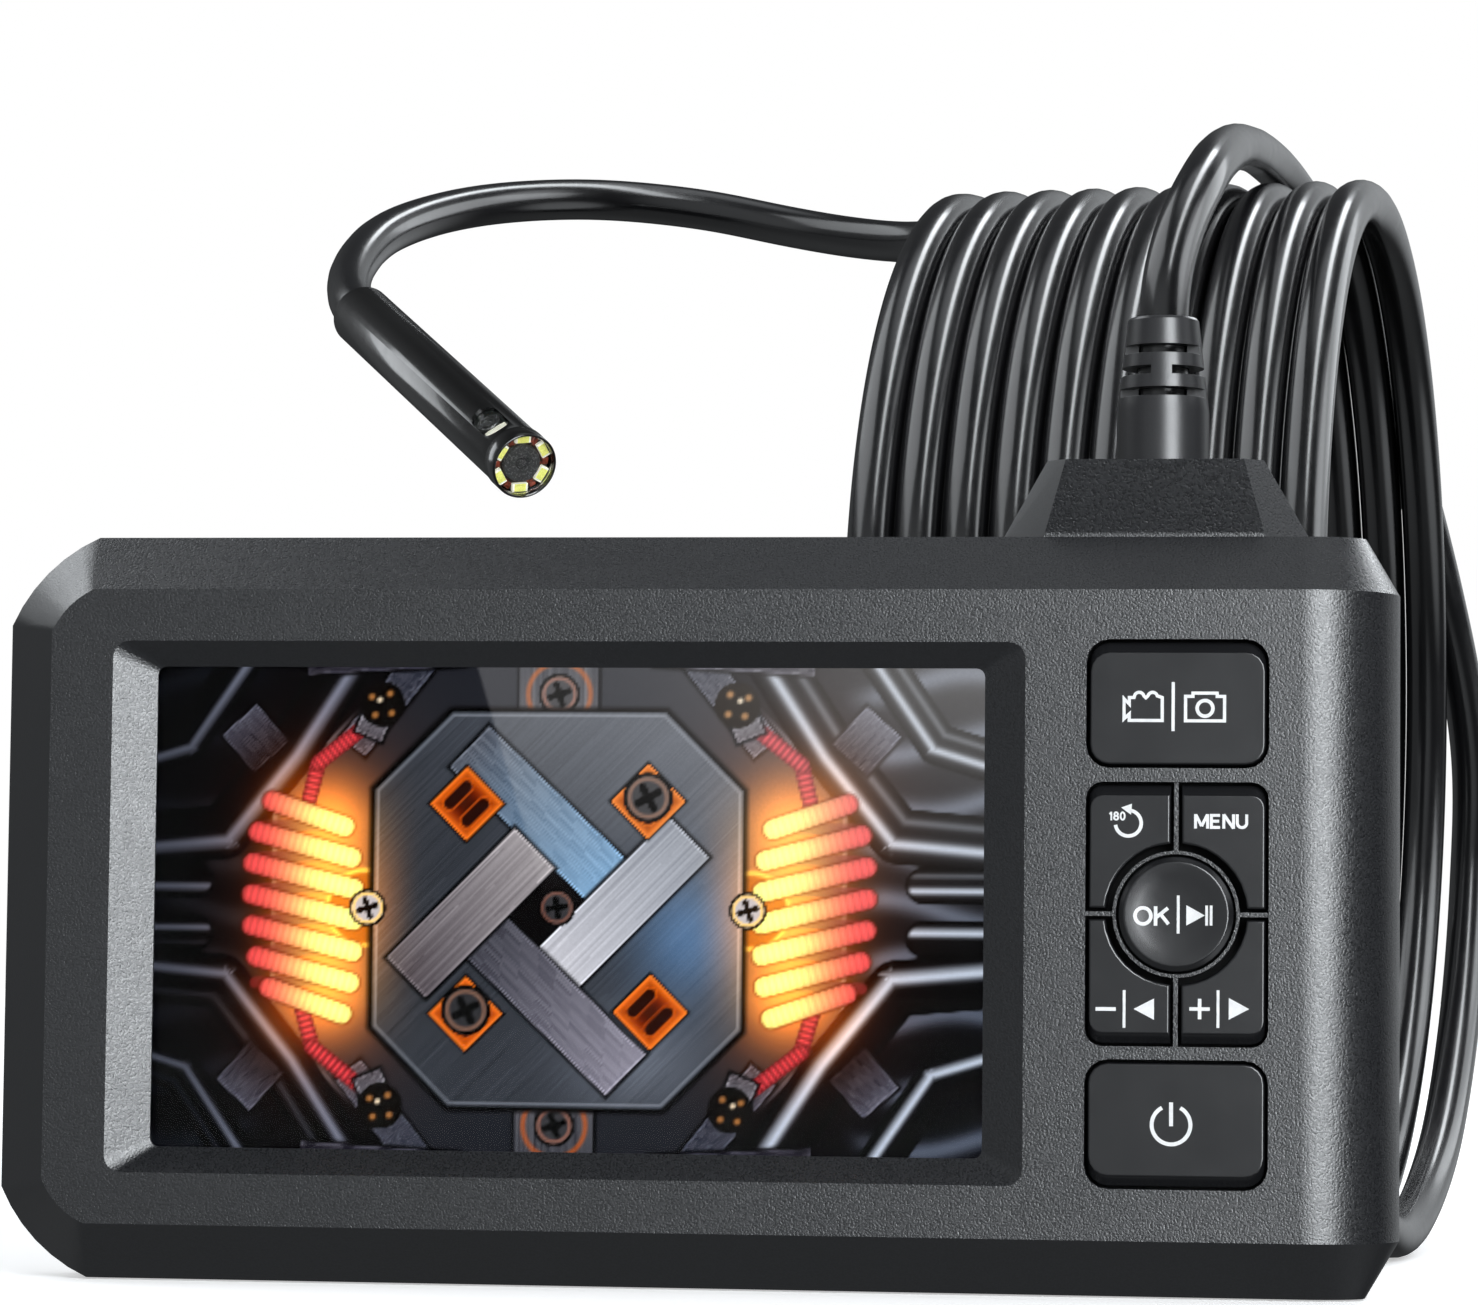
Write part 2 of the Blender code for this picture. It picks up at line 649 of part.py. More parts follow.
def lead_path():
    x, y = RELIEF_X, SPLIT_Y
    clear = COIL_R + 2 * CABLE_R + 0.45
    start = [(x, y, 79.6), (x, y, 96), (x, y, 106), (x, y + 0.1, 112.5), (53.9, 4.2, 119), (55.3, 12, 125.4)]
    start += [(57.0, 28, 132.5), (59.4, 49, 139.5)]
    over = [(96, clear + 0.2, 12.8), (80, clear, 13.4), (60, clear, 17.0), (38, clear, 21.6)]
    over += [(18, clear, 26.4), (0, clear, 30.1), (-16, clear - 0.4, 30.4), (-36, COIL_R + 3.2, 30.4)]
    over += [(-60, COIL_R + 0.6, 30.4), (-90, COIL_R, 30.4), (-120, COIL_R, 30.4), (-148, COIL_R, 30.4)]
    return smooth([*start, *(coil_point(*p) for p in over)], 4)


TAIL = (
    (19.2, 104.0, 137.6),
    (12.3, 115.0, 138.0),
    (3.8, 122.0, 140.0),
    (-6.0, 126.4, 142.4),
    (-18.4, 128.0, 145.1),
    (-32.6, 125.6, 146.1),
    (-45.0, 116.0, 144.2),
    (-52.6, 102.0, 140.3),
    (-56.2, 88.0, 135.0),
    (-56.0, 73.0, 128.0),
)


def probe_at(h):
    return Vector(PROBE_TIP) - Vector(PROBE_DIR).normalized() * (PROBE_L - h)


def tail_path():
    return smooth([*TAIL, probe_at(-4), probe_at(0), probe_at(4.6)], 4)


def make_cable(mat):
    piece("cable_lead", tube(lead_path(), CABLE_R, 8), mat)
    piece("cable_tail", tube(tail_path(), CABLE_R, 8), mat)
    lo, hi = LAST_TOP - PITCH / 2 + 0.1, FIRST_TOP + 1.35
    count = TURNS + 1
    step = (hi - lo) / count
    outer, inner = [], []
    for i in range(count):
        start = lo + i * step
        outer += [(COIL_R + 1.2, start), (COIL_R + CABLE_R, start + 0.3 * step)]
        outer.append((COIL_R + CABLE_R, start + 0.7 * step))
        inner += [(COIL_R - 1.2, start), (COIL_R - CABLE_R, start + 0.5 * step)]
    outer.append((COIL_R + 1.2, hi))
    inner.append((COIL_R - 1.2, hi))
    axis, _ = coil_axes()
    ring = turned(outer + inner[::-1], COIL_AT, axis, 32, side=(0, 0, -1))
    piece("cable_coil", ring, mat)


def make_relief(rubber):
    x, y = RELIEF_X, SPLIT_Y
    bore = CABLE_R + 0.3
    profile = [(bore, 87.0), (3.9, 87.0), (3.9, 89.4), (5.32, 89.4), (5.3, 100.5), (4.9, 103.9)]
    profile += [(4.35, 108.8), (4.1, 111.1), (3.85, RELIEF_TOP), (bore, RELIEF_TOP)]
    relief = piece("strain_relief", turned(profile, (x, y, 0), (0, 0, 1), 24), rubber)
    join(relief, flange_box(), "flange")
    cut(relief, rod(bore, 0, 6, (x, y, 85), (0, 0, 1), 24), "bore")
    slots = []
    for z in (102.6, 107.6):
        for side in (-1, 1):
            y0, y1 = sorted((y + side * 1.3, y + side * 7))
            slots.append(box(x - 7, x + 7, y0, y1, z - 0.5, z + 0.5))
    for side in (-1, 1):
        x0, x1 = sorted((x + side * 1.2, x + side * 7))
        slots.append(box(x0, x1, y - 7, y + 7, 104.6, 105.6))
    cut(relief, merged(*slots), "slots")


def make_cable_fixings(plastic, connector):
    x, y = RELIEF_X, SPLIT_Y
    clamp = piece("cable_clamp", box(x - 6, x + 6, y - 4.2, y + 4.2, 80.0, 82.9), plastic)
    cut(clamp, rod(CABLE_R + 0.2, 0, 6, (x, y, 79), (0, 0, 1), 16), "bore")
    plug = piece("cable_connector", box(x - 5, x + 5, y - 2.6, y + 2.6, 70.2, 79.2), connector)
    cut(plug, box(x - 6, x + 6, y + 1.6, y + 3, 75, 80), "step")


# ---------------------------------------------------------------- the probe


def probe_box(h0, h1, u0, u1, v0, v1):
    """A box in the probe's own frame: h along it, u towards its side window, v across."""
    d, u, v = frame_along(PROBE_DIR, PROBE_SIDE)
    loop = [(u0, v0), (u1, v0), (u1, v1), (u0, v1)]
    base = probe_at(0)
    return loft([[base + d * h + u * p + v * q for p, q in loop] for h in (h0, h1)])


def probe_stadium(h0, h1, half, u0, u1):
    """A plate with round ends, whose long side runs along the probe."""
    d, u, v = frame_along(PROBE_DIR, PROBE_SIDE)
    base = probe_at(0)
    outline = []
    for centre, start in ((h1 - half, -90), (h0 + half, 90)):
        for i in range(7):
            t = math.radians(start + 180 * i / 6)
            outline.append((centre + half * math.cos(t), half * math.sin(t)))
    return loft([[base + d * h + v * q + u * p for h, q in outline] for p in (u0, u1)])


def probe_turned(profile, n=28):
    return turned(profile, probe_at(0), PROBE_DIR, n)


WINDOW_H = (PROBE_L - 11.0, PROBE_L - 3.9)
LED_RING = 3.1


def make_probe(steel, black, glass, board, led, rubber):
    cap_back = PROBE_L - CAP_L
    profile = [(3.5, 0), (3.8, 0), (PROBE_R, 0.2), (PROBE_R, cap_back), (3.62, cap_back)]
    profile += [(3.62, PROBE_L - 2.4), (3.5, PROBE_L - 2.4)]
    barrel = piece("probe_barrel", probe_turned(profile), steel)
    cut(barrel, probe_stadium(*WINDOW_H, 1.75, 1.0, 6.0), "window")
    cap = [(3.75, cap_back + 0.15), (CAP_R - 0.1, cap_back + 0.15), (CAP_R, cap_back + 0.3)]
    cap += [(CAP_R, PROBE_L - 0.2), (CAP_R - 0.12, PROBE_L), (3.83, PROBE_L), (3.75, PROBE_L - 0.12)]
    piece("probe_tip_cap", probe_turned(cap), steel)
    piece("front_window", probe_turned([(0, PROBE_L - 0.9), (3.68, PROBE_L - 0.9), (3.68, PROBE_L - 0.4),
                                        (0, PROBE_L - 0.4)]), glass)
    top = PROBE_L - 1.75
    piece("led_board", pipe_at(2.25, 3.6, top - 0.5, top), board)
    d, u, v = frame_along(PROBE_DIR, PROBE_SIDE)
    for index in range(6):
        t = math.tau * (index + 0.5) / 6
        out, along = u * math.cos(t) + v * math.sin(t), v * math.cos(t) - u * math.sin(t)
        base = probe_at(0)
        near, far = LED_RING - 0.42, LED_RING + 0.42
        loop = [(near, -0.85), (far, -0.85), (far, 0.85), (near, 0.85)]
        rows = [[base + d * h + out * p + along * q for p, q in loop] for h in (top + 0.05, top + 0.6)]
        piece(f"front_led_{index + 1}", loft(rows), led)
    lens = [(0, top - 2.6), (2.12, top - 2.6), (2.12, top + 0.55), (0.85, top + 0.55)]
    lens += [(0.6, top + 0.3), (0, top + 0.3)]
    piece("front_lens", probe_turned(lens, 24), black)
    mid0, mid1 = WINDOW_H[0] + 0.15, WINDOW_H[1] - 0.15
    piece("side_window", probe_stadium(mid0, mid1, 1.6, 3.1, 3.4), glass)
    d, u, v = frame_along(PROBE_DIR, PROBE_SIDE)
    lens_at = probe_at(WINDOW_H[0] + 2.2)
    piece("side_lens", turned([(0, 0.5), (1.4, 0.5), (1.4, 2.9), (0.9, 2.9), (0.55, 2.65), (0, 2.65)],
                              lens_at, u, 20, side=tuple(d)), black)
    piece("side_led", probe_box(WINDOW_H[1] - 2.0, WINDOW_H[1] - 0.9, 2.0, 2.95, -1.2, 1.2), led)
    piece("probe_seal", pipe_at(CABLE_R + 0.2, 3.4, 0.4, 5.4), rubber)
    piece("probe_board", probe_box(6.5, PROBE_L - 6.2, -0.6, 0.2, -2.7, 2.7), board)


def pipe_at(r_in, r_out, h0, h1):
    return pipe(r_in, r_out, h0, h1, probe_at(0), PROBE_DIR, 28)


def main():
    clear_scene()
    shell = material("shell_grain", (0.055, 0.057, 0.062), roughness=0.55)
    key = material("key_plastic", (0.043, 0.044, 0.048), roughness=0.45)
    rubber = material("black_rubber", (0.02, 0.02, 0.022), roughness=0.6)
    cable = material("cable_jacket", (0.03, 0.03, 0.032), roughness=0.25)
    steel = material("steel", (0.55, 0.56, 0.58), metallic=1.0, roughness=0.35)
    barrel = material("black_metal", (0.02, 0.02, 0.022), metallic=0.6, roughness=0.2)
    glass = material("clear_cover", (0.9, 0.92, 0.93), roughness=0.05, transmission=1.0)
    panel = material("display_dark", (0.01, 0.01, 0.012), roughness=0.2)
    board = material("circuit_board", (0.02, 0.12, 0.06), roughness=0.5)
    cell = material("battery_wrap", (0.1, 0.16, 0.3), roughness=0.4)
    foam = material("foam", (0.05, 0.05, 0.05), roughness=0.9)
    lens = material("lens_holder", (0.015, 0.015, 0.017), roughness=0.35)
    led = material("led", (0.9, 0.82, 0.35), roughness=0.4)
    make_front_shell(shell)
    make_rear_shell(shell)
    make_case_seal(rubber)
    make_display(glass, panel, foam, steel)
    make_boards(board, cell, foam)
    make_keys(key)
    make_mat(rubber)
    make_switches(lens)
    make_ports(steel, rubber)
    make_screws(steel)
    make_cable(cable)
    make_relief(rubber)
    make_cable_fixings(lens, foam)
    make_probe(barrel, lens, glass, board, led, rubber)


main()
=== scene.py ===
"""The looks of an inspection camera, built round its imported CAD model.

Lengths are metres, or millimetres times MM. X runs to the right, Y to the back, Z up.
"""

import json
import math

import bmesh
import bpy
import numpy as np
from mathutils import Matrix, Vector


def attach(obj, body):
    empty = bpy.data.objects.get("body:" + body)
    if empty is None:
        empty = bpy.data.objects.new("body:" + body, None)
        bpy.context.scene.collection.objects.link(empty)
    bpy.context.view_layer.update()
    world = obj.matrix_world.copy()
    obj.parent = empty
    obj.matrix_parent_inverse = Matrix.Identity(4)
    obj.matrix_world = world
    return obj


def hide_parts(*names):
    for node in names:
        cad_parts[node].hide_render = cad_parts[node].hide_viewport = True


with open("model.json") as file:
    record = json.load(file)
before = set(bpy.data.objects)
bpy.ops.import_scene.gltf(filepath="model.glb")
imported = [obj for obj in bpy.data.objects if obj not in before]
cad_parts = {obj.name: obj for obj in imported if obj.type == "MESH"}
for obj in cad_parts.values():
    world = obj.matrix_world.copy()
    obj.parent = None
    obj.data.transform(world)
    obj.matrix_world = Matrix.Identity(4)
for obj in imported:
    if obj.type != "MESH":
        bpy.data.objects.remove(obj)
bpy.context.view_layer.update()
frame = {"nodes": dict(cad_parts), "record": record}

MM = 0.001
NODES = frame["nodes"]

# ---------------- camera

# The view's turn to the right of the front, its height angle and its roll, in degrees.
VIEW = (7.42, -3.83, 0.61)
VIEW_DISTANCE, VIEW_TARGET = 570.58 * MM, Vector((4.53, 0, 72.81)) * MM
LENS, SENSOR = 120.2, 36.0


def place_camera():
    """The camera of the product view: low, a little to the right, and looking slightly up."""
    az, el, roll = (math.radians(angle) for angle in VIEW)
    back = Vector((math.sin(az) * math.cos(el), -math.cos(az) * math.cos(el), math.sin(el)))
    right = Vector((math.cos(az), math.sin(az), 0))
    up = back.cross(right)
    x = right * math.cos(roll) + up * math.sin(roll)
    y = up * math.cos(roll) - right * math.sin(roll)
    camera = bpy.data.objects.new("camera", bpy.data.cameras.new("camera"))
    bpy.context.scene.collection.objects.link(camera)
    camera.data.lens, camera.data.sensor_width = LENS, SENSOR
    turn = Matrix((x, y, back)).transposed().to_4x4()
    camera.matrix_world = Matrix.Translation(VIEW_TARGET + back * VIEW_DISTANCE) @ turn
    camera.data.clip_start, camera.data.clip_end = 0.01, 100
    bpy.context.scene.camera = camera


# ---------------- materials


class Nodes:
    """A node tree, with short calls for adding nodes and feeding their sockets."""

    def __init__(self, tree):
        self.nodes, self.links = tree.nodes, tree.links

    def node(self, kind, inputs=(), **settings):
        made = self.nodes.new("ShaderNode" + kind)
        for key, value in settings.items():
            setattr(made, key, value)
        for key, value in dict(inputs).items():
            self.feed(made.inputs[key], value)
        return made

    def feed(self, socket, value):
        if isinstance(value, bpy.types.NodeSocket):
            self.links.new(value, socket)
        else:
            socket.default_value = value


class Look(Nodes):
    """A Principled material, with short calls for the nodes that feed it."""

    def __init__(self, name, **values):
        self.material = bpy.data.materials.new(name)
        self.material.use_nodes = True
        super().__init__(self.material.node_tree)
        self.shader = self.nodes["Principled BSDF"]
        self.out(**values)

    def place(self):
        """Object coordinates, from one node for the whole material."""
        if not hasattr(self, "coords"):
            self.coords = self.node("TexCoord")
        return self.coords.outputs["Object"]

    def stretched(self, scale):
        """Object coordinates, stretched by a factor on each axis."""
        return self.node("Mapping", {"Vector": self.place(), "Scale": scale}).outputs[0]

    def noise(self, scale, detail=2.0, rough=0.5, at=None):
        inputs = {"Vector": at or self.place(), "Scale": scale, "Detail": detail, "Roughness": rough}
        return self.node("TexNoise", inputs).outputs["Fac"]

    def math(self, op, a, b=0.0):
        return self.node("Math", {0: a, 1: b}, operation=op).outputs[0]

    def span(self, value, a, b, c=0.0, d=1.0):
        """The value, moved from the range a..b to c..d and held inside it."""
        inputs = {"Value": value, "From Min": a, "From Max": b, "To Min": c, "To Max": d}
        return self.node("MapRange", inputs).outputs[0]

    def mix(self, fac, a, b):
        """A colour between a and b."""
        made = self.node("Mix", data_type="RGBA")
        self.feed(made.inputs[0], fac)
        self.feed(made.inputs[6], colour(a))
        self.feed(made.inputs[7], colour(b))
        return made.outputs[2]

    def bump(self, height, distance):
        return self.node("Bump", {"Height": height, "Distance": distance, "Strength": 1.0}).outputs[0]

    def out(self, **sockets):
        for key, value in sockets.items():
            self.feed(self.shader.inputs[key.replace("_", " ")], value)
        return self.material


def colour(value):
    if isinstance(value, bpy.types.NodeSocket):
        return value
    if isinstance(value, (int, float)):
        value = (value,) * 3
    return (*value[:3], 1.0)


def plastic(name, base, rough, size, speckle, bump, spec=0.5):
    """Moulded plastic or rubber: a fine grain, a slow change of tone, and faint rub marks."""
    look = Look(name, Specular_IOR_Level=spec)
    fine = look.noise(1000 / size, 2.0, 0.6)
    broad = look.noise(28, 3.0, 0.6)
    rubs = look.noise(160, 4.0, 0.65)
    low = [c * (1 - speckle) for c in base]
    high = [c * (1 + speckle) for c in base]
    tone = look.mix(look.span(fine, 0.35, 0.65), low, high)
    tone = look.mix(look.span(broad, 0.3, 0.8, 0.0, 0.12), tone, [c * 1.5 + 0.004 for c in base])
    shine = look.span(rubs, 0.4, 0.75, rough, rough * 0.84)
    return look.out(Base_Color=tone, Roughness=shine, Normal=look.bump(fine, bump * MM))


def metal(name, base, rough, stretch):
    """Turned or rolled metal with a fine drawn grain and a few dull spots."""
    look = Look(name, Metallic=1.0)
    drawn = look.noise(2600, 3.0, 0.6, look.stretched(stretch))
    dull = look.noise(300, 3.0, 0.6)
    tone = look.mix(look.span(drawn, 0.3, 0.7), [c * 0.82 for c in base], base)
    tone = look.mix(look.span(dull, 0.5, 0.8, 0.0, 0.3), tone, [c * 0.45 for c in base])
    shine = look.span(drawn, 0.3, 0.7, rough * 0.8, rough * 1.25)
    return look.out(Base_Color=tone, Roughness=shine, Normal=look.bump(drawn, 0.004 * MM))


# ---------------- helpers for shapes


def link(obj):
    bpy.context.scene.collection.objects.link(obj)
    return obj


def from_mesh(name, bm, mats, smooth=True):
    mesh = bpy.data.meshes.new(name)
    bm.to_mesh(mesh)
    bm.free()
    for m in mats:
        mesh.materials.append(m)
    if smooth:
        mesh.shade_smooth()
    return link(bpy.data.objects.new(name, mesh))


def dress(node, look, bevel=0.0):
    """Gives a CAD node its material and, by modifiers, soft edges and smooth round faces."""
    obj = NODES[node]
    obj.data.materials.clear()
    obj.data.materials.append(look)
    obj.modifiers.new("weld", "WELD").merge_threshold = 0.002 * MM
    flat = obj.modifiers.new("flat", "DECIMATE")
    flat.decimate_type, flat.angle_limit = "DISSOLVE", math.radians(0.6)
    for attribute in [a for a in obj.data.attributes if a.name in ("custom_normal", "sharp_edge", "sharp_face")]:
        obj.data.attributes.remove(attribute)
    obj.data.shade_smooth()
    soft = obj.modifiers.new("soft", "BEVEL")
    soft.width = (bevel or 0.02) * MM
    soft.segments = 3 if bevel else 1
    soft.limit_method, soft.angle_limit = "ANGLE", math.radians(20)
    soft.use_clamp_overlap = True
    obj.modifiers.new("even", "WEIGHTED_NORMAL").keep_sharp = True


# ---------------- the cable

# Millimetres, like every place in this part: the coil's middle, its turn in degrees, its radius and its pitch.
CABLE_R = 2.88
COIL_AT = (51.0, 88.5, 70.15)
COIL_YAW = 8.0
COIL_R = 67.25
PITCH = 5.85
FULL_TURNS = 9.75
# Where the strain relief stands, as X and Y, and its top; then the probe's tip, its axis and its window's side.
RELIEF = (53.25, 1.0)
PROBE_TIP = Vector((-23.5, 15.0, 96.1))
PROBE_DIR = Vector((0.507, -0.753, -0.421)).normalized()
PROBE_SIDE = Vector((-0.319, -0.615, 0.721))
PROBE_L = 58.0
# The distance between the rings of the cable's mesh.
STEP = 1.6


def smooth_line(points, per_span):
    """A Catmull-Rom curve through the points."""
    pts = [Vector(p) for p in points]
    pts = [pts[0] * 2 - pts[1], *pts, pts[-1] * 2 - pts[-2]]
    out = []
    for a, b, c, d in zip(pts, pts[1:], pts[2:], pts[3:]):
        for i in range(per_span):
            t = i / per_span
            out.append(0.5 * (2 * b + (c - a) * t + (2 * a - 5 * b + 4 * c - d) * t**2
                              + (3 * b - a - 3 * c + d) * t**3))
    out.append(pts[-2])
    return out


def even_line(points, step):
    """The same curve with its points an even step apart."""
    pts = np.array([tuple(p) for p in points])
    run = np.concatenate([[0.0], np.cumsum(np.linalg.norm(np.diff(pts, axis=0), axis=1))])
    at = np.linspace(0, run[-1], round(run[-1] / step) + 1)
    return np.stack([np.interp(at, run, pts[:, i]) for i in range(3)], axis=1)


def relaxed(points, rounds):
    """The curve with every small kink taken out, and its ends left where they are."""
    for _ in range(rounds):
        points[2:-2] += 0.25 * (points[1:-3] - 2 * points[2:-2] + points[3:-1])
    return points


def coil_point(angle, radius, along):
    """A point by its angle from the back over the top, its radius and its distance along the axis."""
    yaw, t = math.radians(COIL_YAW), math.radians(angle)
    axis, back = Vector((math.cos(yaw), -math.sin(yaw), 0)), Vector((math.sin(yaw), math.cos(yaw), 0))
    return Vector(COIL_AT) + axis * along + (back * math.cos(t) + Vector((0, 0, 1)) * math.sin(t)) * radius


def probe_at(h):
    return PROBE_TIP - PROBE_DIR * (PROBE_L - h)


def cable_line():
    """The cable from inside the case, over the coil, round it ten times and out to the probe."""
    x, y = RELIEF
    clear = COIL_R + 2 * CABLE_R + 0.45
    points = [(x, y, 82.4), (x, y, 96), (x, y, 106), (x, y + 0.1, 112.5), (53.9, 2.7, 118.4), (55.5, 6.6, 124.5)]
    points += [(57.2, 12.2, 129.2), (58.4, 22, 133.3), (59.7, 38, 137.5), (60.7, 58, 141.0)]
    over = [(-96, clear + 0.2, 12.8), (-80, clear, 13.4), (-60, clear, 17.0), (-38, clear, 21.6), (-18, clear, 26.4)]
    over += [(0, clear, 30.1), (16, clear - 0.4, 30.4), (36, COIL_R + 3.2, 30.4), (60, COIL_R + 0.6, 30.2)]
    over += [(90, COIL_R, 29.55), (120, COIL_R, 28.6), (150, COIL_R, 27.96)]
    points += [coil_point(-turned, radius, along) for turned, radius, along in over]
    for turned in range(180, int(FULL_TURNS * 360) + 1, 15):
        points.append(coil_point(-turned, COIL_R, 30.4 - PITCH * turned / 360))
    points += [(20.9, 105.0, 137.7), (14.2, 116.4, 138.1), (4.4, 124.2, 140.0), (-6.0, 128.4, 142.4)]
    points += [(-18.4, 129.4, 145.1), (-32.6, 126.0, 146.1), (-44.6, 116.6, 144.3), (-52.4, 103.0, 140.4)]
    points += [(-56.8, 88.0, 135.0), (-57.4, 73.0, 128.0), probe_at(-4), probe_at(0), probe_at(4.6)]
    line = relaxed(even_line(smooth_line(points, 8), STEP), 5)
    return [Vector(p) * MM for p in line]


def cable_look():
    look = Look("cable_jacket", Specular_IOR_Level=0.9, Coat_Weight=0.3, Coat_Roughness=0.1)
    fine = look.noise(2200, 3.0, 0.6)
    broad = look.noise(40, 3.0, 0.6)
    rubs = look.noise(260, 4.0, 0.7)
    tone = look.mix(look.span(broad, 0.3, 0.75), (0.008, 0.008, 0.009), (0.014, 0.014, 0.016))
    shine = look.span(rubs, 0.35, 0.75, 0.26, 0.19)
    return look.out(Base_Color=tone, Roughness=shine, Normal=look.bump(fine, 0.0015 * MM))


def make_cable():
    """The whole cable as one round tube, with the probe's pieces on its far end."""
    line = cable_line()
    curve = bpy.data.curves.new("cable", "CURVE")
    curve.dimensions = "3D"
    spline = curve.splines.new("POLY")
    spline.points.add(len(line) - 1)
    for point, here in zip(spline.points, line):
        point.co = (*here, 1.0)
    curve.bevel_depth = CABLE_R * MM
    curve.bevel_resolution = 10
    curve.use_fill_caps = True
    spline.use_smooth = True
    curve.materials.append(cable_look())
    cable = link(bpy.data.objects.new("cable", curve))
    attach(cable, "monitor")
    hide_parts("cable_lead", "cable_coil", "cable_tail")
    return cable


# ---------------- printed marks on the keys

# The front of the printed marks, their thickness, and how much prouder each stroke is than the one before.
MARK_Y = -11.83
MARK_DEEP = 0.07
LAYER = 0.003
# The round key's dished face, by distance from its middle, and that middle's place.
DISH = ((0.0, -11.55), (2.4, -11.6), (4.4, -11.78), (5.6, -12.0))
OK_AT = (55.5, 42.85)


def ellipse(cx, cz, rx, rz, start=0.0, end=360.0, steps=28):
    turns = [math.radians(start + (end - start) * i / steps) for i in range(steps + (end - start < 360))]
    return [(cx + rx * math.cos(t), cz + rz * math.sin(t)) for t in turns]


# Each letter's width, then its strokes in a box one unit high: the points, and whether the stroke is closed.
LETTERS = {
    "M": (1.0, [([(0, -0.1), (0, 1.1)], False), ([(0.02, 1.06), (0.5, 0.1)], False),
                ([(0.98, 1.06), (0.5, 0.1)], False), ([(1, -0.1), (1, 1.1)], False)]),
    "E": (0.72, [([(1, 1), (0, 1), (0, 0), (1, 0)], False), ([(0, 0.52), (0.9, 0.52)], False)]),
    "N": (0.8, [([(0, -0.1), (0, 1.1)], False), ([(0, 1.08), (1, -0.08)], False), ([(1, -0.1), (1, 1.1)], False)]),
    "U": (0.78, [([(0, 1.1), *ellipse(0.5, 0.38, 0.5, 0.38, 180, 359, 12), (1, 1.1)], False)]),
    "O": (0.98, [(ellipse(0.5, 0.5, 0.5, 0.5), True)]),
    "K": (0.8, [([(0, -0.1), (0, 1.1)], False), ([(0.95, 1), (0.06, 0.42)], False), ([(0.38, 0.62), (1, 0)], False)]),
    "1": (0.3, [([(0, 0.74), (0.85, 1)], False), ([(0.85, 1.08), (0.85, -0.1)], False)]),
    "8": (0.56, [(ellipse(0.5, 0.76, 0.42, 0.24), True), (ellipse(0.5, 0.26, 0.5, 0.26), True)]),
    "0": (0.56, [(ellipse(0.5, 0.5, 0.5, 0.5), True)]),
}


def lettering(text, x, z, high, gap, width):
    """The strokes of a word whose lower left corner is at x, z."""
    strokes = []
    for letter in text:
        wide, parts = LETTERS[letter]
        for points, closed in parts:
            strokes.append(([(x + p * wide * high, z + q * high) for p, q in points], width, closed))
        x += wide * high + gap
    return strokes


def upright(x, low, high, width=0.32):
    return ([(x, low), (x, high)], width, False)


FILM_CAMERA = [
    (49.62, 66.92), (50.2, 66.3), (50.2, 67.05), (50.72, 67.05), *ellipse(51.3, 67.1, 0.54, 0.54, 165, 15, 9),
    (52.05, 67.02), *ellipse(52.8, 67.1, 0.54, 0.54, 165, 15, 9), (53.88, 67.05), (53.88, 64.48), (50.2, 64.48),
    (50.2, 65.2), (49.62, 64.66),
]
PHOTO_CAMERA = [
    (56.48, 67.2), (57.3, 67.2), (57.3, 67.56), (60.0, 67.56), (60.0, 67.2), (60.82, 67.2), (60.82, 64.46),
    (56.48, 64.46),
]
# Each key's strokes, as points, width and whether closed, and its filled shapes.
MARKS = {
    "record": ([(FILM_CAMERA, 0.36, True), (PHOTO_CAMERA, 0.36, True), (ellipse(58.65, 65.86, 0.88, 0.88), 0.4, True),
                upright(55.1, 63.3, 68.8, 0.36)], []),
    "rotate": ([(ellipse(50.16, 52.98, 1.44, 1.44, 78, -172, 30), 0.4, False),
                *lettering("180", 48.05, 53.36, 0.82, 0.27, 0.2)],
               [[(49.36, 54.72), (50.56, 55.16), (50.46, 53.92)]]),
    "menu": (lettering("MENU", 57.65, 52.56, 1.34, 0.42, 0.33), []),
    "ok": ([*lettering("OK", 50.96, 41.74, 1.8, 0.52, 0.4), upright(55.76, 40.7, 44.95),
            upright(58.92, 41.62, 43.86, 0.3), upright(59.42, 41.62, 43.86, 0.3)],
           [[(56.66, 41.6), (56.66, 43.88), (58.72, 42.74)]]),
    "minus": ([([(46.62, 32.23), (48.88, 32.23)], 0.42, False), upright(49.8, 30.15, 34.35)],
              [[(50.86, 32.27), (53.13, 33.46), (53.13, 31.08)]]),
    "plus": ([([(57.05, 32.34), (59.32, 32.34)], 0.4, False), upright(58.19, 31.2, 33.48, 0.4),
              upright(60.23, 30.25, 34.45)],
             [[(61.42, 31.18), (61.42, 33.6), (63.68, 32.39)]]),
    "power": ([(ellipse(55.08, 19.44, 2.15, 2.15, 62, -242, 40), 0.44, False), upright(55.08, 19.3, 21.95, 0.44)], []),
}


def stroke_sides(points, width, closed):
    """The left and right edges of a stroke, mitred at its corners."""
    pts = [Vector(p) for p in points]
    left, right = [], []
    for i, p in enumerate(pts):
        before = (p - pts[i - 1]).normalized() if closed or i else None
        after = (pts[(i + 1) % len(pts)] - p).normalized() if closed or i < len(pts) - 1 else before
        before = before or after
        out = Vector((-before.y - after.y, before.x + after.x)).normalized()
        reach = width / 2 / max(out.dot(Vector((-before.y, before.x))), 0.4)
        left.append(p + out * reach)
        right.append(p - out * reach)
    return left, right


def mark_height(x, z, dished):
    """The Y of a key's face in front of a point, a little proud of it."""
    if not dished:
        return MARK_Y
    r = math.hypot(x - OK_AT[0], z - OK_AT[1])
    return float(np.interp(r, [a for a, _ in DISH], [b for _, b in DISH])) - 0.035


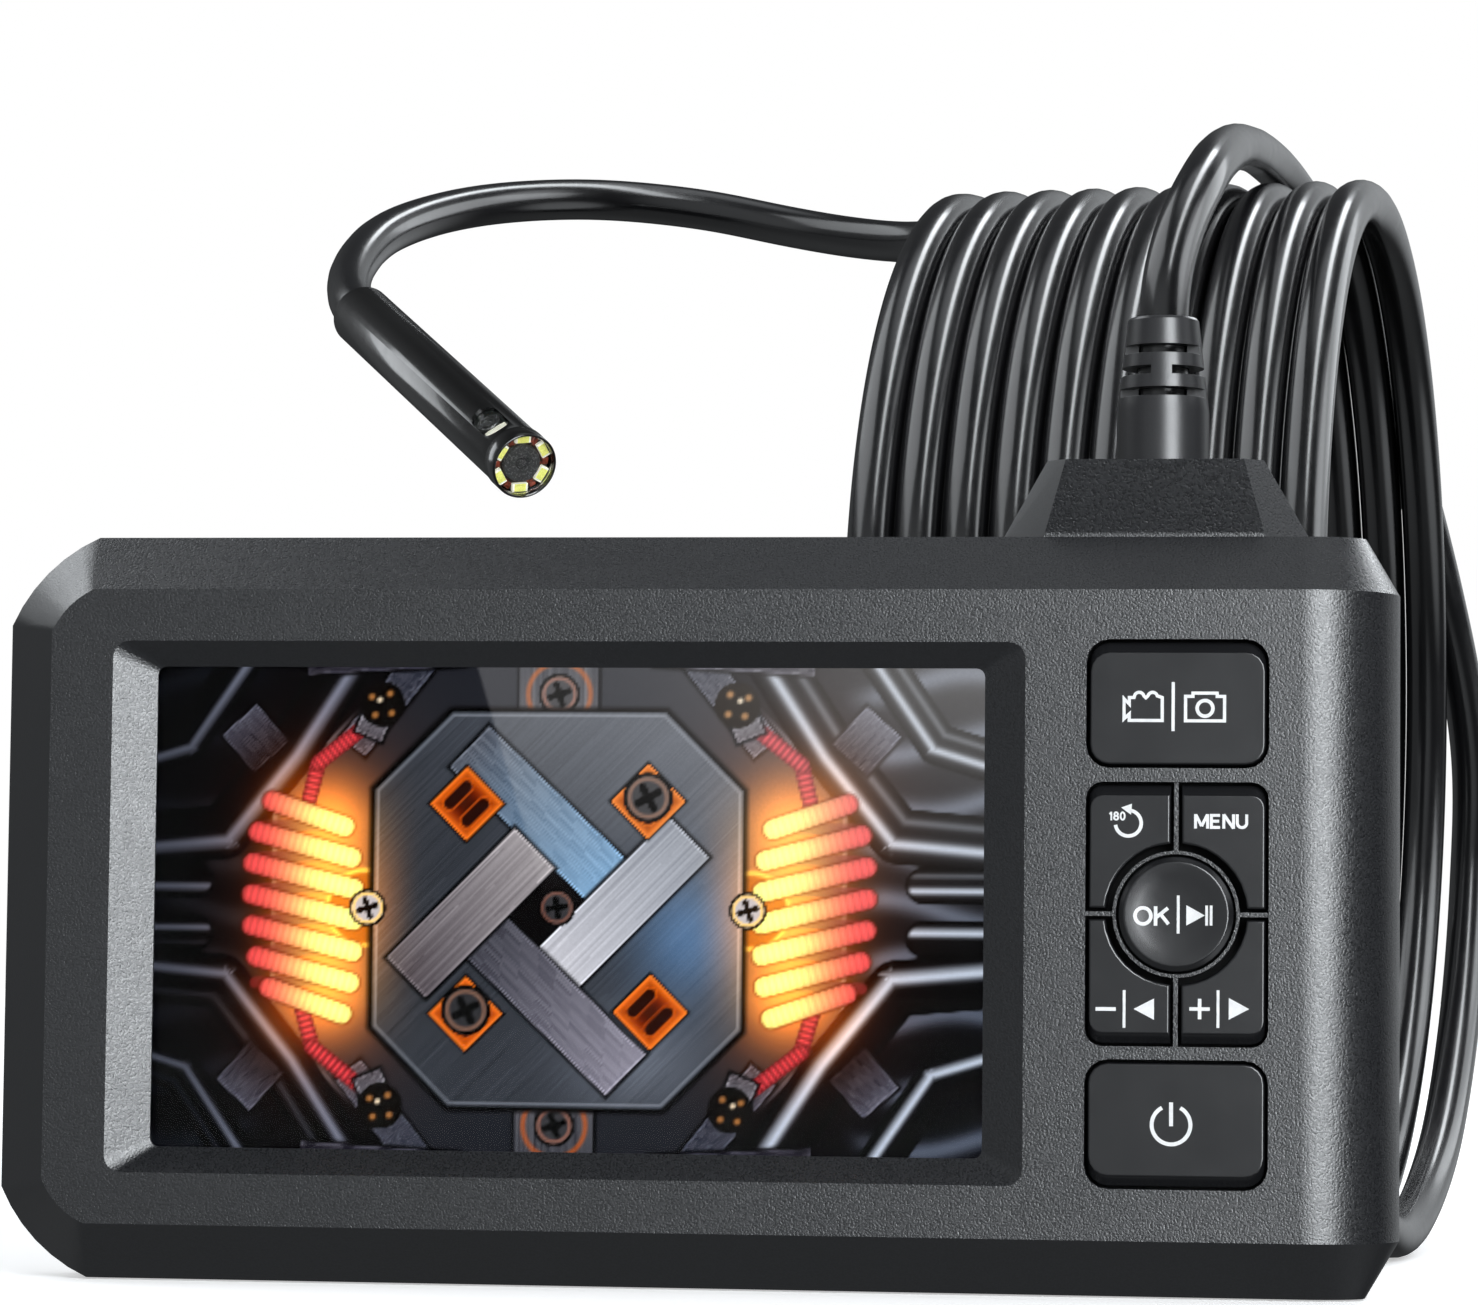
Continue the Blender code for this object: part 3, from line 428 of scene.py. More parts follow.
def finer(points, closed, step=0.5):
    """The same stroke with no span longer than a step."""
    out = []
    ends = [*points[1:], points[0]] if closed else points[1:]
    for p, q in zip(points, ends):
        count = max(1, math.ceil(math.dist(p, q) / step))
        out += [(p[0] + (q[0] - p[0]) * i / count, p[1] + (q[1] - p[1]) * i / count) for i in range(count)]
    return out if closed else [*out, points[-1]]


def make_marks():
    """The printed symbols, one piece on each key, every stroke a thin raised strip."""
    look = Look("printed_white", Specular_IOR_Level=0.4)
    worn = look.noise(900, 4.0, 0.7)
    edge = look.noise(120, 2.0)
    tone = look.mix(look.span(worn, 0.3, 0.75), 0.74, 0.9)
    shine = look.span(edge, 0.3, 0.7, 0.38, 0.5)
    white = look.out(Base_Color=tone, Roughness=shine, Normal=look.bump(worn, 0.004 * MM))
    for key, (strokes, fills) in MARKS.items():
        dished = key == "ok"
        bm = bmesh.new()

        def corner(p, proud=0.0):
            return bm.verts.new((p[0] * MM, (mark_height(p[0], p[1], dished) - proud) * MM, p[1] * MM))

        for order, (points, width, closed) in enumerate(strokes):
            points = finer(points, closed) if dished else points
            proud = order * LAYER
            left, right = stroke_sides(points, width, closed)
            left, right = [corner(p, proud) for p in left], [corner(p, proud) for p in right]
            for i in range(len(points) if closed else len(points) - 1):
                j = (i + 1) % len(points)
                bm.faces.new((left[i], right[i], right[j], left[j]))
        for points in fills:
            bm.faces.new([corner(p) for p in points])
        for face in bm.faces:
            face.normal_update()
            if face.normal.y > 0:
                face.normal_flip()
        mark = from_mesh(key + "_mark", bm, [white], smooth=False)
        thick = mark.modifiers.new("thick", "SOLIDIFY")
        thick.thickness, thick.offset = MARK_DEEP * MM, -1.0
        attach(mark, key + "_key")


# ---------------- what the screen shows

PICTURE_Y = -7.75
PICTURE_SIZE = (97.2, 56.8)
PICTURE_AT = (-13.92, 42.85)
PICTURE_STEP = 0.26
# How far the middle of the drawn cover lies to the left of the picture's own middle.
COVER_LEFT = 1.2
SIDES = (-1, 1)
CORNERS = [(sign, flip) for sign in SIDES for flip in SIDES]


def smooth(value, a, b):
    t = np.clip((value - a) / (b - a), 0.0, 1.0)
    return t * t * (3 - 2 * t)


class Picture:
    """A picture worked out on a grid of points, in display tones from 0 to 1 and places in millimetres."""

    def __init__(self, x, z):
        self.x, self.z = x, z
        self.tone = np.zeros((*x.shape, 3))
        self.random = np.random.default_rng(5)

    def cover(self, mask, tone):
        self.tone += mask[..., None] * (np.asarray(tone) - self.tone)

    def add(self, mask, tone):
        self.tone += mask[..., None] * np.asarray(tone)

    def strip(self, p, q):
        """How far along the line from p to q each point lies, from 0 to 1, how far to its left, and its length."""
        (x0, z0), (x1, z1) = p, q
        long = math.hypot(x1 - x0, z1 - z0)
        dx, dz = (x1 - x0) / long, (z1 - z0) / long
        t = ((self.x - x0) * dx + (self.z - z0) * dz) / long
        return t, (self.z - z0) * dx - (self.x - x0) * dz, long

    def reach(self, p, q):
        """Each point's distance from the line from p to q."""
        t, side, long = self.strip(p, q)
        return np.hypot(side, np.maximum(0, np.maximum(-t, t - 1)) * long)

    def tube(self, points, r, low, high, light):
        """A round hose along the points, dark at its edges, with a highlight to one side."""
        best, side_at = np.full(self.x.shape, 1e9), np.zeros(self.x.shape)
        for p, q in zip(points, points[1:]):
            near, (_, side, _) = self.reach(p, q), self.strip(p, q)
            closer = near < best
            best, side_at = np.where(closer, near, best), np.where(closer, side, side_at)
        u = side_at / r
        shine = np.exp(-(((u - light) / 0.2) ** 2)) + 0.35 * np.exp(-(((u + 0.55) / 0.14) ** 2))
        low, high = np.asarray(low), np.asarray(high)
        tone = low + (high - low) * np.clip(shine, 0, 1)[..., None]
        tone = tone * smooth(1 - best / r, 0.0, 0.3)[..., None]
        self.cover(smooth(r + 0.18 - best, 0, 0.18), tone)

    def disc(self, at, r, tone, soft=0.15):
        self.cover(smooth(r - np.hypot(self.x - at[0], self.z - at[1]), 0, soft), tone)

    def ring(self, at, r, wide, tone, amount=1.0):
        d = np.abs(np.hypot(self.x - at[0], self.z - at[1]) - r)
        self.cover(amount * smooth(wide - d, 0, wide), tone)

    def screw(self, at, r, tone, rim, turn=0.3):
        self.disc(at, r * 1.18, (0.03, 0.03, 0.03))
        self.disc(at, r, (tone, tone, tone * 1.05))
        self.ring(at, r * 0.86, r * 0.16, rim, 0.8)
        for angle in (turn, turn + math.pi / 2):
            c, s = math.cos(angle) * r * 0.55, math.sin(angle) * r * 0.55
            d = self.reach((at[0] - c, at[1] - s), (at[0] + c, at[1] + s))
            self.cover(smooth(r * 0.2 - d, 0, 0.12), (0.02, 0.02, 0.02))

    def plate(self, p, q, half, first, last):
        """A flat bar from p to q with a brushed grain, a thin bright edge and a dark gap round it."""
        t, side, long = self.strip(p, q)
        d = np.maximum(np.abs(side) - half, np.maximum(-t, t - 1) * long)
        self.cover(smooth(0.55 - d, 0, 0.5) * 0.9, (0.03, 0.03, 0.035))
        grain = self.random.normal(size=800)[np.clip((side * 16 + 400).astype(int), 0, 799)]
        tone = np.asarray(first) + (np.asarray(last) - np.asarray(first)) * np.clip(t, 0, 1)[..., None]
        tone = tone + 0.03 * grain[..., None]
        tone = np.where((d > -0.28)[..., None], tone * 1.25 + 0.03, tone)
        self.cover(smooth(-d, 0, 0.15), tone)

    def slot(self, at, half):
        """A square opening stood on its corner, with hot orange light inside and two dark slats."""
        d = (np.abs(self.x - at[0]) + np.abs(self.z - at[1])) / math.sqrt(2) - half
        inside = np.clip(-d / half, 0, 1)
        rim = 1 - inside
        hot = np.stack([0.25 + 0.75 * rim**2, 0.1 + 0.45 * rim**3, 0.03 + 0.2 * rim**5], -1)
        self.cover(smooth(0.35 - d, 0, 0.35), (0.02, 0.02, 0.02))
        self.cover(smooth(-d, 0, 0.15), hot)
        for k in SIDES:
            c = half * 0.33 * k
            bar = self.reach((at[0] + c - 1.0, at[1] - c - 1.0), (at[0] + c + 1.0, at[1] - c + 1.0))
            self.cover(smooth(0.75 - bar, 0, 0.3), (0.16, 0.07, 0.04))
            self.cover(smooth(0.18 - np.abs(bar - 0.8), 0, 0.18) * 0.6, (0.9, 0.42, 0.12))


def heater(pic, sign):
    """One glowing coil, its two leads and their brass screws, mirrored by its sign."""
    def at(x, z):
        return (sign * x, z)

    hot = smooth(pic.x * sign, 35.5, 25.5)
    wire = np.stack([0.93 + 0.07 * hot, 0.33 + 0.6 * hot, 0.33 + 0.2 * hot], -1)
    leads = (((29.0, 12.4), (28.0, 16.6), (21.4, 21.8)), ((29.6, -11.2), (28.2, -16.0), (21.0, -21.6)))
    for a, b in [pair for lead in leads for pair in zip(lead, lead[1:])]:
        near = pic.reach(at(*a), at(*b))
        t, _, long = pic.strip(at(*a), at(*b))
        wound = (0.8 + 0.2 * np.sin(t * long * 9)) * np.clip(1.25 - near * 0.7, 0.4, 1)
        pic.cover(smooth(1.05 - near, 0, 0.25), np.array((0.86, 0.27, 0.3)) * wound[..., None])
    heights = [12.2 - 3.58 * k for k in range(7)]
    for z in heights[:-1]:
        near = pic.reach(at(24.6, z - 2.6), at(35.0, z - 3.0))
        pic.cover(smooth(0.8 - near, 0, 0.3) * 0.8, wire * 0.55)
    for k, z in enumerate(heights):
        wide = 1.0 - 0.2 * (abs(k - 3) / 3) ** 3
        p, q = at(23.6 + 1.2 * (1 - wide) * 5, z - 2.9), at(24.4 + 11.2 * wide, z)
        near = pic.reach(p, q)
        t, _, long = pic.strip(p, q)
        wound = 0.93 + 0.07 * np.sin(t * long * 8)
        shade = (wound * (0.62 + 0.45 * np.sqrt(np.clip(1 - (near / 1.22) ** 2, 0, 1))))[..., None]
        pic.cover(smooth(1.5 - near, 0, 0.3) * 0.55, (0.35, 0.1, 0.04))
        pic.cover(smooth(1.22 - near, 0, 0.2), np.clip(wire * shade, 0, 1))
    core = pic.reach(at(25.6, 8.6), at(25.6, -8.6))
    pic.add(np.exp(-((core / 4.2) ** 2)) * 0.3, (0.6, 0.5, 0.15))
    for x, z in ((20.6, 23.4), (20.2, -22.6)):
        pic.plate(at(x + 1.6, z * 0.84), at(x + 0.2, z * 0.99), 1.7, (0.3, 0.28, 0.3), (0.5, 0.5, 0.53))
        pic.disc(at(x, z), 2.7, (0.06, 0.045, 0.035))
        for turn in (0.6, 2.2, 3.9, 5.3):
            pic.disc(at(x + 1.5 * math.cos(turn), z + 1.5 * math.sin(turn)), 0.62, (0.62, 0.42, 0.24), 0.5)
        pic.disc(at(x + 0.3, z + 0.5), 0.5, (0.9, 0.82, 0.7), 0.4)


def inspection_picture(x, z):
    """What the screen shows: two glowing heater coils beside a dark steel cover with four bars."""
    mid = x + COVER_LEFT
    pic = Picture(mid, z)
    pic.cover(np.ones(x.shape), (0.05, 0.05, 0.06))
    for row in range(-4, 5):
        lit = np.where(mid > 0, 0.42, 0.13)
        band = np.exp(-(((z - row * 6.4 - 1.5 * np.sin(x * 0.22 + row)) / 1.3) ** 2)) * smooth(np.abs(mid), 32, 38)
        pic.add(band * lit, (0.62, 0.68, 0.78))
    deck = 33.5 - np.maximum(np.abs(mid), (np.abs(mid) + np.abs(z)) * 0.72)
    pic.cover(smooth(deck, 0, 0.5), (0.15, 0.155, 0.175))
    pic.cover(smooth(0.4 - np.abs(deck - 0.5), 0, 0.4) * 0.5, (0.42, 0.42, 0.46))
    hoses = (
        (((50, 17.0), (43.5, 19.0), (37, 28.5)), 2.3),
        (((50, 7.6), (39.0, 8.6), (31.4, 18.0), (24.0, 29.5)), 3.1),
        (((50, 3.0), (42.0, 3.0)), 2.0),
    )
    for sign, flip in CORNERS:
        # The hoses on the right get brighter highlights: partly their own shine in the picture, partly painted glare
        # of the window glass.
        shine = (0.42, 0.44, 0.5) if sign < 0 else (0.68, 0.72, 0.78)
        for path, r in hoses:
            pic.tube([(sign * a, flip * b) for a, b in path], r, (0.035, 0.036, 0.042), shine, 0.3 * sign * flip)
        first, last = (sign * 33.5, flip * 17.2), (sign * 37.4, flip * 21.6)
        pic.plate(first, last, 2.7, (0.09, 0.09, 0.11), (0.3, 0.31, 0.36))
    for sign, flip in CORNERS:
        first, last = (sign * 14.0, flip * 31), (sign * 24.0, flip * 18.5)
        pic.plate(first, last, 1.9, (0.2, 0.21, 0.25), (0.26, 0.27, 0.31))
        first, last = (sign * 29.5, flip * 27.5), (sign * 11.0, flip * 28.6)
        pic.plate(first, last, 0.8, (0.17, 0.17, 0.2), (0.2, 0.2, 0.24))
    for sign in SIDES:
        heat = pic.reach((sign * 27.5, 9.5), (sign * 27.5, -9.5))
        pic.add(np.exp(-((heat / 5.6) ** 2)) * 0.75, (1.0, 0.45, 0.08))
        pic.add(np.exp(-((heat / 11.0) ** 2)) * 0.16, (1.0, 0.36, 0.1))
        pic.disc((sign * 22.4, 0), 4.6, (0.62, 0.3, 0.1))
        pic.ring((sign * 22.4, 0), 4.3, 0.5, (1.0, 0.72, 0.3))
    for flip in SIDES:
        pic.plate((0, flip * 31), (0, flip * 21.5), 4.6, (0.2, 0.205, 0.23), (0.3, 0.3, 0.32))
        pic.ring((0, flip * 24.6), 3.6, 0.5, (0.75, 0.34, 0.14), 0.7)
        pic.screw((0, flip * 24.6), 2.1, 0.22, (0.6, 0.4, 0.34))
    d = np.maximum(np.abs(mid) - 21.4, np.abs(z) - 22.6)
    d = np.maximum(d, (np.abs(mid) + np.abs(z) - 35.0) / math.sqrt(2))
    grain = pic.random.normal(size=4000)[np.clip(((x - z) * 22 + 2000).astype(int), 0, 3999)]
    steel = 0.225 + 0.1 * smooth(mid + z, -10, 34) + 0.16 * np.exp(-(((mid - 9) / 8) ** 2 + ((z + 17) / 6) ** 2))
    steel = (steel + 0.012 * grain)[..., None] * np.array((0.95, 1.0, 1.1))
    blue = np.exp(-(((mid - 15) / 6) ** 2 + ((z + 3) / 7) ** 2))
    pic.cover(smooth(0.9 - d, 0, 0.8), (0.03, 0.025, 0.025))
    pic.cover(smooth(-d, 0, 0.2), steel + blue[..., None] * np.array((0.05, 0.14, 0.24)))
    pic.cover(smooth(0.26 - np.abs(d + 0.45), 0, 0.26) * 0.45, (0.62, 0.64, 0.68))
    for sign in SIDES:
        spill = smooth(sign * mid, 15.5, 22.5) * smooth(-d, 0, 0.2) * np.exp(-((z / 9) ** 2))
        pic.add(spill * 0.35, (0.9, 0.4, 0.1))
    pic.cover(smooth(8.6 - (np.abs(mid) + np.abs(z)), 0, 0.4), (0.05, 0.04, 0.045))
    bars = (
        ((-10.4, 18.6), (6.2, 2.9), (0.33, 0.345, 0.38), (0.45, 0.6, 0.74)),
        ((15.2, 8.4), (0.3, -6.6), (0.52, 0.54, 0.58), (0.72, 0.72, 0.75)),
        ((8.2, -18.8), (-8.6, -2.7), (0.5, 0.49, 0.54), (0.26, 0.26, 0.29)),
        ((-17.4, -8.0), (-2.6, 7.0), (0.33, 0.31, 0.33), (0.58, 0.56, 0.57)),
    )
    for p, q, first, last in bars:
        pic.plate(p, q, 3.3, first, last)
    for i, (a, b) in enumerate(((10.4, 12.4), (10.9, -11.6), (-10.4, -12.0), (-10.6, 12.0))):
        pic.slot((a, b), 3.1)
        if i % 2 == 0:
            pic.screw((a, b + 0.4), 2.5, 0.2, (0.55, 0.4, 0.33), 0.5)
    pic.screw((0, 0.2), 1.9, 0.2, (0.5, 0.32, 0.27), 0.15)
    for sign in SIDES:
        heater(pic, sign)
    for sign in SIDES:
        pic.screw((sign * 22.0, 0), 1.9, 0.66, (1.0, 0.8, 0.4))
        heat = pic.reach((sign * 26.5, 9.0), (sign * 26.5, -9.0))
        pic.add(np.exp(-((heat / 6.5) ** 2)) * 0.14, (1.0, 0.55, 0.15))
    pic.tone *= (1 - 0.35 * smooth(-mid, 30, 48))[..., None]
    # Painted reflection: a pale glare of the window glass, painted into the picture over its upper right part.
    glare = smooth(x - (-10.96 + (28.2 - z) * 0.31), -0.15, 0.25) * smooth(z, -16, 30) ** 1.2
    glare *= 0.24 + 0.22 * smooth(x, 0, 48)
    pic.cover(glare, (0.78, 0.77, 0.76))
    return np.clip(pic.tone * 1.04 - 0.035, 0.0, 1.0)


def make_picture():
    """The picture as a thin lit layer on the display panel, its tones held in a colour attribute."""
    wide, high = PICTURE_SIZE
    columns, rows = round(wide / PICTURE_STEP), round(high / PICTURE_STEP)
    x, z = np.meshgrid(np.linspace(-wide / 2, wide / 2, columns + 1), np.linspace(-high / 2, high / 2, rows + 1))
    tone = inspection_picture(x, z)
    verts = np.stack([x + PICTURE_AT[0], np.full(x.shape, PICTURE_Y), z + PICTURE_AT[1]], -1).reshape(-1, 3) * MM
    first = (np.arange(rows)[:, None] * (columns + 1) + np.arange(columns)[None, :]).reshape(-1)
    faces = np.stack([first, first + 1, first + columns + 2, first + columns + 1], -1)
    mesh = bpy.data.meshes.new("screen_picture")
    mesh.from_pydata(verts.tolist(), [], faces.tolist())
    layer = mesh.color_attributes.new("picture", "FLOAT_COLOR", "POINT")
    linear = np.concatenate([tone.reshape(-1, 3) ** 2.2, np.ones((len(verts), 1))], axis=1)
    layer.data.foreach_set("color", linear.astype(np.float32).reshape(-1))
    look = Look("screen_picture", Roughness=0.6, Emission_Strength=1.3, Specular_IOR_Level=0.0)
    shown = look.node("Attribute", attribute_name="picture").outputs["Color"]
    cells = look.noise(3400, 1.0)
    lit = look.node("Mix", data_type="RGBA", blend_type="MULTIPLY")
    for socket, value in ((0, 1.0), (6, shown), (7, look.mix(look.span(cells, 0.3, 0.7), 0.94, 1.0))):
        look.feed(lit.inputs[socket], value)
    mesh.materials.append(look.out(Base_Color=look.mix(cells, 0.001, 0.002), Emission_Color=lit.outputs[2]))
    mesh.materials[0].cycles.emission_sampling = "NONE"
    picture = link(bpy.data.objects.new("screen_picture", mesh))
    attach(picture, "monitor")


# ---------------- the probe

ROUND = 96
# Angles above which an edge stays sharp, in degrees.
SHARP = 34
# The slot in the probe's side: where it starts and ends along the probe, and half its width.
SLOT_FROM, SLOT_TO, SLOT_HALF = 47.0, 54.1, 1.75
SIDE_LENS_AT, SIDE_LIGHT_AT = 49.2, 52.15
LIGHTS = 6
LIGHT_RING = 3.08
# The names of the pieces at the cable's far end, in the order they are made.
ON_CABLE = []


def probe_frame():
    """Turns places on the probe (side, across and along its axis from its rear end) into the model's."""
    across = PROBE_DIR.cross(PROBE_SIDE).normalized()
    side = across.cross(PROBE_DIR)
    turn = Matrix((side, across, PROBE_DIR)).transposed().to_4x4()
    return Matrix.Scale(MM, 4) @ Matrix.Translation(probe_at(0)) @ turn


def lathe(profile, steps=ROUND, closed=True):
    """A profile of radius and height, turned round the Z axis; points on the axis become one vertex."""
    bm = bmesh.new()
    rings = []
    for r, h in profile:
        if r < 1e-6:
            rings.append([bm.verts.new((0, 0, h))] * steps)
            continue
        turns = [2 * math.pi * i / steps for i in range(steps)]
        rings.append([bm.verts.new((r * math.cos(t), r * math.sin(t), h)) for t in turns])
    pairs = list(zip(rings, rings[1:])) + ([(rings[-1], rings[0])] if closed else [])
    for low, high in pairs:
        for i in range(steps):
            j = (i + 1) % steps
            corners = list(dict.fromkeys((low[i], low[j], high[j], high[i])))
            if len(corners) > 2:
                bm.faces.new(corners)
    bmesh.ops.recalc_face_normals(bm, faces=bm.faces)
    return bm


def sharpen(obj, angle):
    obj.data.set_sharp_from_angle(angle=math.radians(angle))


def on_probe(name, bm, mats, node, local=None, angle=SHARP):
    """Puts a mesh made in the probe's own millimetres in its place, standing for a CAD node."""
    bm.transform(probe_frame() @ (local or Matrix()))
    obj = from_mesh(name, bm, mats)
    ON_CABLE.append(name)
    sharpen(obj, angle)
    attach(obj, "monitor")
    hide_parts(node)
    return obj


def rounded_box(bm, low, high, bevel):
    """A box between two corners, with its edges rounded off."""
    before = set(bm.verts)
    bmesh.ops.create_cube(bm, size=1.0)
    verts = [v for v in bm.verts if v not in before]
    for v in verts:
        v.co = [a + (b - a) * (c + 0.5) for a, b, c in zip(low, high, v.co)]
    edges = list({e for v in verts for e in v.link_edges})
    bmesh.ops.bevel(bm, geom=edges, offset=bevel, segments=2, profile=0.5, affect="EDGES")


def cut(obj, tool):
    """Cuts the tool's shape from a mesh, for good."""
    change = obj.modifiers.new("cut", "BOOLEAN")
    change.object, change.solver = tool, "EXACT"
    bpy.context.view_layer.update()
    mesh = bpy.data.meshes.new_from_object(obj.evaluated_get(bpy.context.evaluated_depsgraph_get()))
    obj.modifiers.clear()
    obj.data = mesh
    bpy.data.objects.remove(tool)


def gloss_black(name, base=0.003, rough=0.18, spec=0.7):
    look = Look(name, Specular_IOR_Level=spec, Coat_Weight=0.4, Coat_Roughness=0.06)
    haze = look.noise(240, 4.0, 0.65)
    scuff = look.noise(900, 3.0, 0.7, look.stretched((1, 1, 0.3)))
    tone = look.mix(look.span(haze, 0.3, 0.8), base, base * 1.8)
    shine = look.span(scuff, 0.45, 0.8, rough, rough * 1.5)
    return look.out(Base_Color=tone, Roughness=shine, Normal=look.bump(haze, 0.002 * MM))


def lamp_looks():
    """The lights' yellow field, their pale case, and the brown parts between them."""
    look = Look("led_phosphor", Emission_Strength=0.32, Roughness=0.45)
    grains = look.noise(5200, 3.0, 0.7)
    tone = look.mix(look.span(grains, 0.3, 0.7), (0.62, 0.64, 0.10), (0.86, 0.85, 0.26))
    phosphor = look.out(Base_Color=tone, Emission_Color=tone, Normal=look.bump(grains, 0.01 * MM))
    look = Look("led_case", Roughness=0.4, Emission_Strength=0.4, Emission_Color=(1, 0.97, 0.78, 1))
    pale = look.out(Base_Color=look.mix(look.noise(2500), (0.78, 0.76, 0.62), (0.9, 0.89, 0.8)))
    look = Look("tip_parts", Specular_IOR_Level=0.6, Roughness=0.3)
    grains = look.span(look.noise(1800, 3.0, 0.7), 0.35, 0.65)
    brown = look.out(Base_Color=look.mix(grains, (0.10, 0.012, 0.005), (0.30, 0.05, 0.018)))
    return phosphor, pale, brown


def make_lamp(name, node, half_long, half_wide, low, high, local, field, case):
    """One surface-mounted light: a pale case, and a lit field that stands just above it."""
    bm = bmesh.new()
    rounded_box(bm, (-half_wide, -half_long, low), (half_wide, half_long, high - 0.06), 0.05)
    case_faces = len(bm.faces)
    across, along = half_wide * 0.94, half_long * 0.74
    rounded_box(bm, (-across, -along, high - 0.2), (across, along, high), 0.04)
    for face in list(bm.faces)[:case_faces]:
        face.material_index = 1
    on_probe(name, bm, [field, case], node, local, 30)


def make_probe():
    """The probe's shell, tip and lenses, round and in fine detail, in the places of their CAD solids."""
    black = gloss_black("probe_black")
    phosphor, pale, tip_parts = lamp_looks()

    bm = lathe([(3.42, 0.0), (3.6, 0.0), (3.82, 0.1), (3.95, 0.4), (3.95, 54.8), (3.9, 54.92), (3.62, 54.96),
                (3.62, 55.6), (3.42, 55.6)])
    barrel = on_probe("probe_shell", bm, [black], "probe_barrel")
    bm = bmesh.new()
    outline = []
    for centre, first in ((SLOT_TO - SLOT_HALF, -90), (SLOT_FROM + SLOT_HALF, 90)):
        for turned in range(first, first + 181, 10):
            t = math.radians(turned)
            outline.append((centre + SLOT_HALF * math.cos(t), SLOT_HALF * math.sin(t)))
    rims = [[bm.verts.new((u, v, h)) for h, v in outline] for u in (1.2, 6.0)]
    bm.faces.new(rims[0])
    bm.faces.new(rims[1])
    for i in range(len(outline)):
        j = (i + 1) % len(outline)
        bm.faces.new((rims[0][i], rims[0][j], rims[1][j], rims[1][i]))
    bmesh.ops.recalc_face_normals(bm, faces=bm.faces)
    bm.transform(probe_frame())
    cut(barrel, from_mesh("recess_tool", bm, []))
    sharpen(barrel, SHARP)

    turned = Matrix.Translation((0, 0, SIDE_LENS_AT)) @ Matrix.Rotation(math.radians(90), 4, "Y")
    bm = lathe([(0, 0.6), (1.55, 0.6), (1.55, 2.76), (1.47, 2.9), (1.2, 2.9), (1.13, 2.7), (0.88, 2.68),
                (0.84, 2.84), (0.64, 2.84), (0.57, 2.62), (0.5, 2.72), (0.34, 2.86), (0.16, 2.93), (0, 2.95)],
               64, closed=False)
    lens_black = gloss_black("side_lens_black", 0.03, 0.24, 0.9)
    on_probe("side_camera", bm, [lens_black], "side_lens", turned, 24)

    bm = lathe([(3.75, 55.08), (4.0, 55.08), (4.08, 55.2), (4.08, 57.82), (4.03, 57.95), (3.95, 58.0),
                (3.84, 58.0), (3.77, 57.94), (3.75, 57.8)])
    on_probe("tip_sleeve", bm, [black], "probe_tip_cap", None, 40)

    bm = lathe([(2.2, 55.75), (3.58, 55.75), (3.58, 56.25), (2.2, 56.25)])
    board_faces = len(bm.faces)
    for i in range(LIGHTS):
        before = set(bm.verts)
        rounded_box(bm, (2.72, -0.34, 56.2), (3.5, 0.34, 56.66), 0.06)
        rounded_box(bm, (2.5, -0.42, 56.2), (2.84, -0.12, 56.5), 0.05)
        rounded_box(bm, (3.2, 0.1, 56.2), (3.56, 0.44, 56.56), 0.05)
        turn = Matrix.Rotation(2 * math.pi * i / LIGHTS, 3, "Z")
        bmesh.ops.rotate(bm, verts=[v for v in bm.verts if v not in before], matrix=turn)
    for face in list(bm.faces)[board_faces:]:
        face.material_index = 1
    board = circuit("tip_board", (0.012, 0.010, 0.009), (0.05, 0.02, 0.01), 2600)
    on_probe("tip_light_board", bm, [board, tip_parts], "led_board", None, 30)

    for i in range(LIGHTS):
        spin = Matrix.Rotation(2 * math.pi * (i + 0.5) / LIGHTS, 4, "Z") @ Matrix.Translation((LIGHT_RING, 0, 0))
        make_lamp(f"tip_light_{i + 1}", f"front_led_{i + 1}", 0.98, 0.5, 56.28, 56.92, spin, phosphor, pale)
    side = Matrix.Translation((0, 0, SIDE_LIGHT_AT)) @ Matrix.Rotation(math.radians(90), 4, "Y")
    make_lamp("side_light", "side_led", 1.4, 0.62, 2.0, 3.08, side, pale, pale)

    bm = lathe([(0, 53.7), (2.3, 53.7), (2.3, 56.9), (2.22, 57.0), (0.95, 57.0), (0.86, 56.94), (0.78, 56.6),
                (0.58, 56.55), (0.5, 56.72), (0.3, 56.84), (0, 56.88)], closed=False)
    look = Look("tip_speckle", Roughness=0.5)
    dots = look.span(look.noise(4200, 3.0, 0.8), 0.54, 0.62)
    speckled = look.out(Base_Color=look.mix(dots, 0.028, 0.2), Normal=look.bump(dots, 0.01 * MM))
    on_probe("tip_camera", bm, [speckled], "front_lens", None, 30)


def circuit(name, base, trace, scale=420):
    """Solder mask with raised tracks and scattered pads under it."""
    look = Look(name, Specular_IOR_Level=0.6, Roughness=0.35)
    cells = look.node("TexVoronoi", {"Vector": look.place(), "Scale": scale, "Randomness": 0.6},
                      feature="F1", distance="MANHATTAN").outputs["Distance"]
    track = look.span(look.math("ABSOLUTE", look.math("SINE", look.math("MULTIPLY", cells, 26.0))), 0.55, 0.75)
    grain = look.noise(1500, 3.0)
    tone = look.mix(track, base, trace)
    tone = look.mix(look.span(grain, 0.62, 0.68, 0.0, 0.7), tone, (0.5, 0.36, 0.12))
    return look.out(Base_Color=tone, Normal=look.bump(track, 0.03 * MM))


# ---------------- studio

STAGE_CENTRE = Vector((0.02, 0.03, 0.07))
WORLD_BASE = 0.05
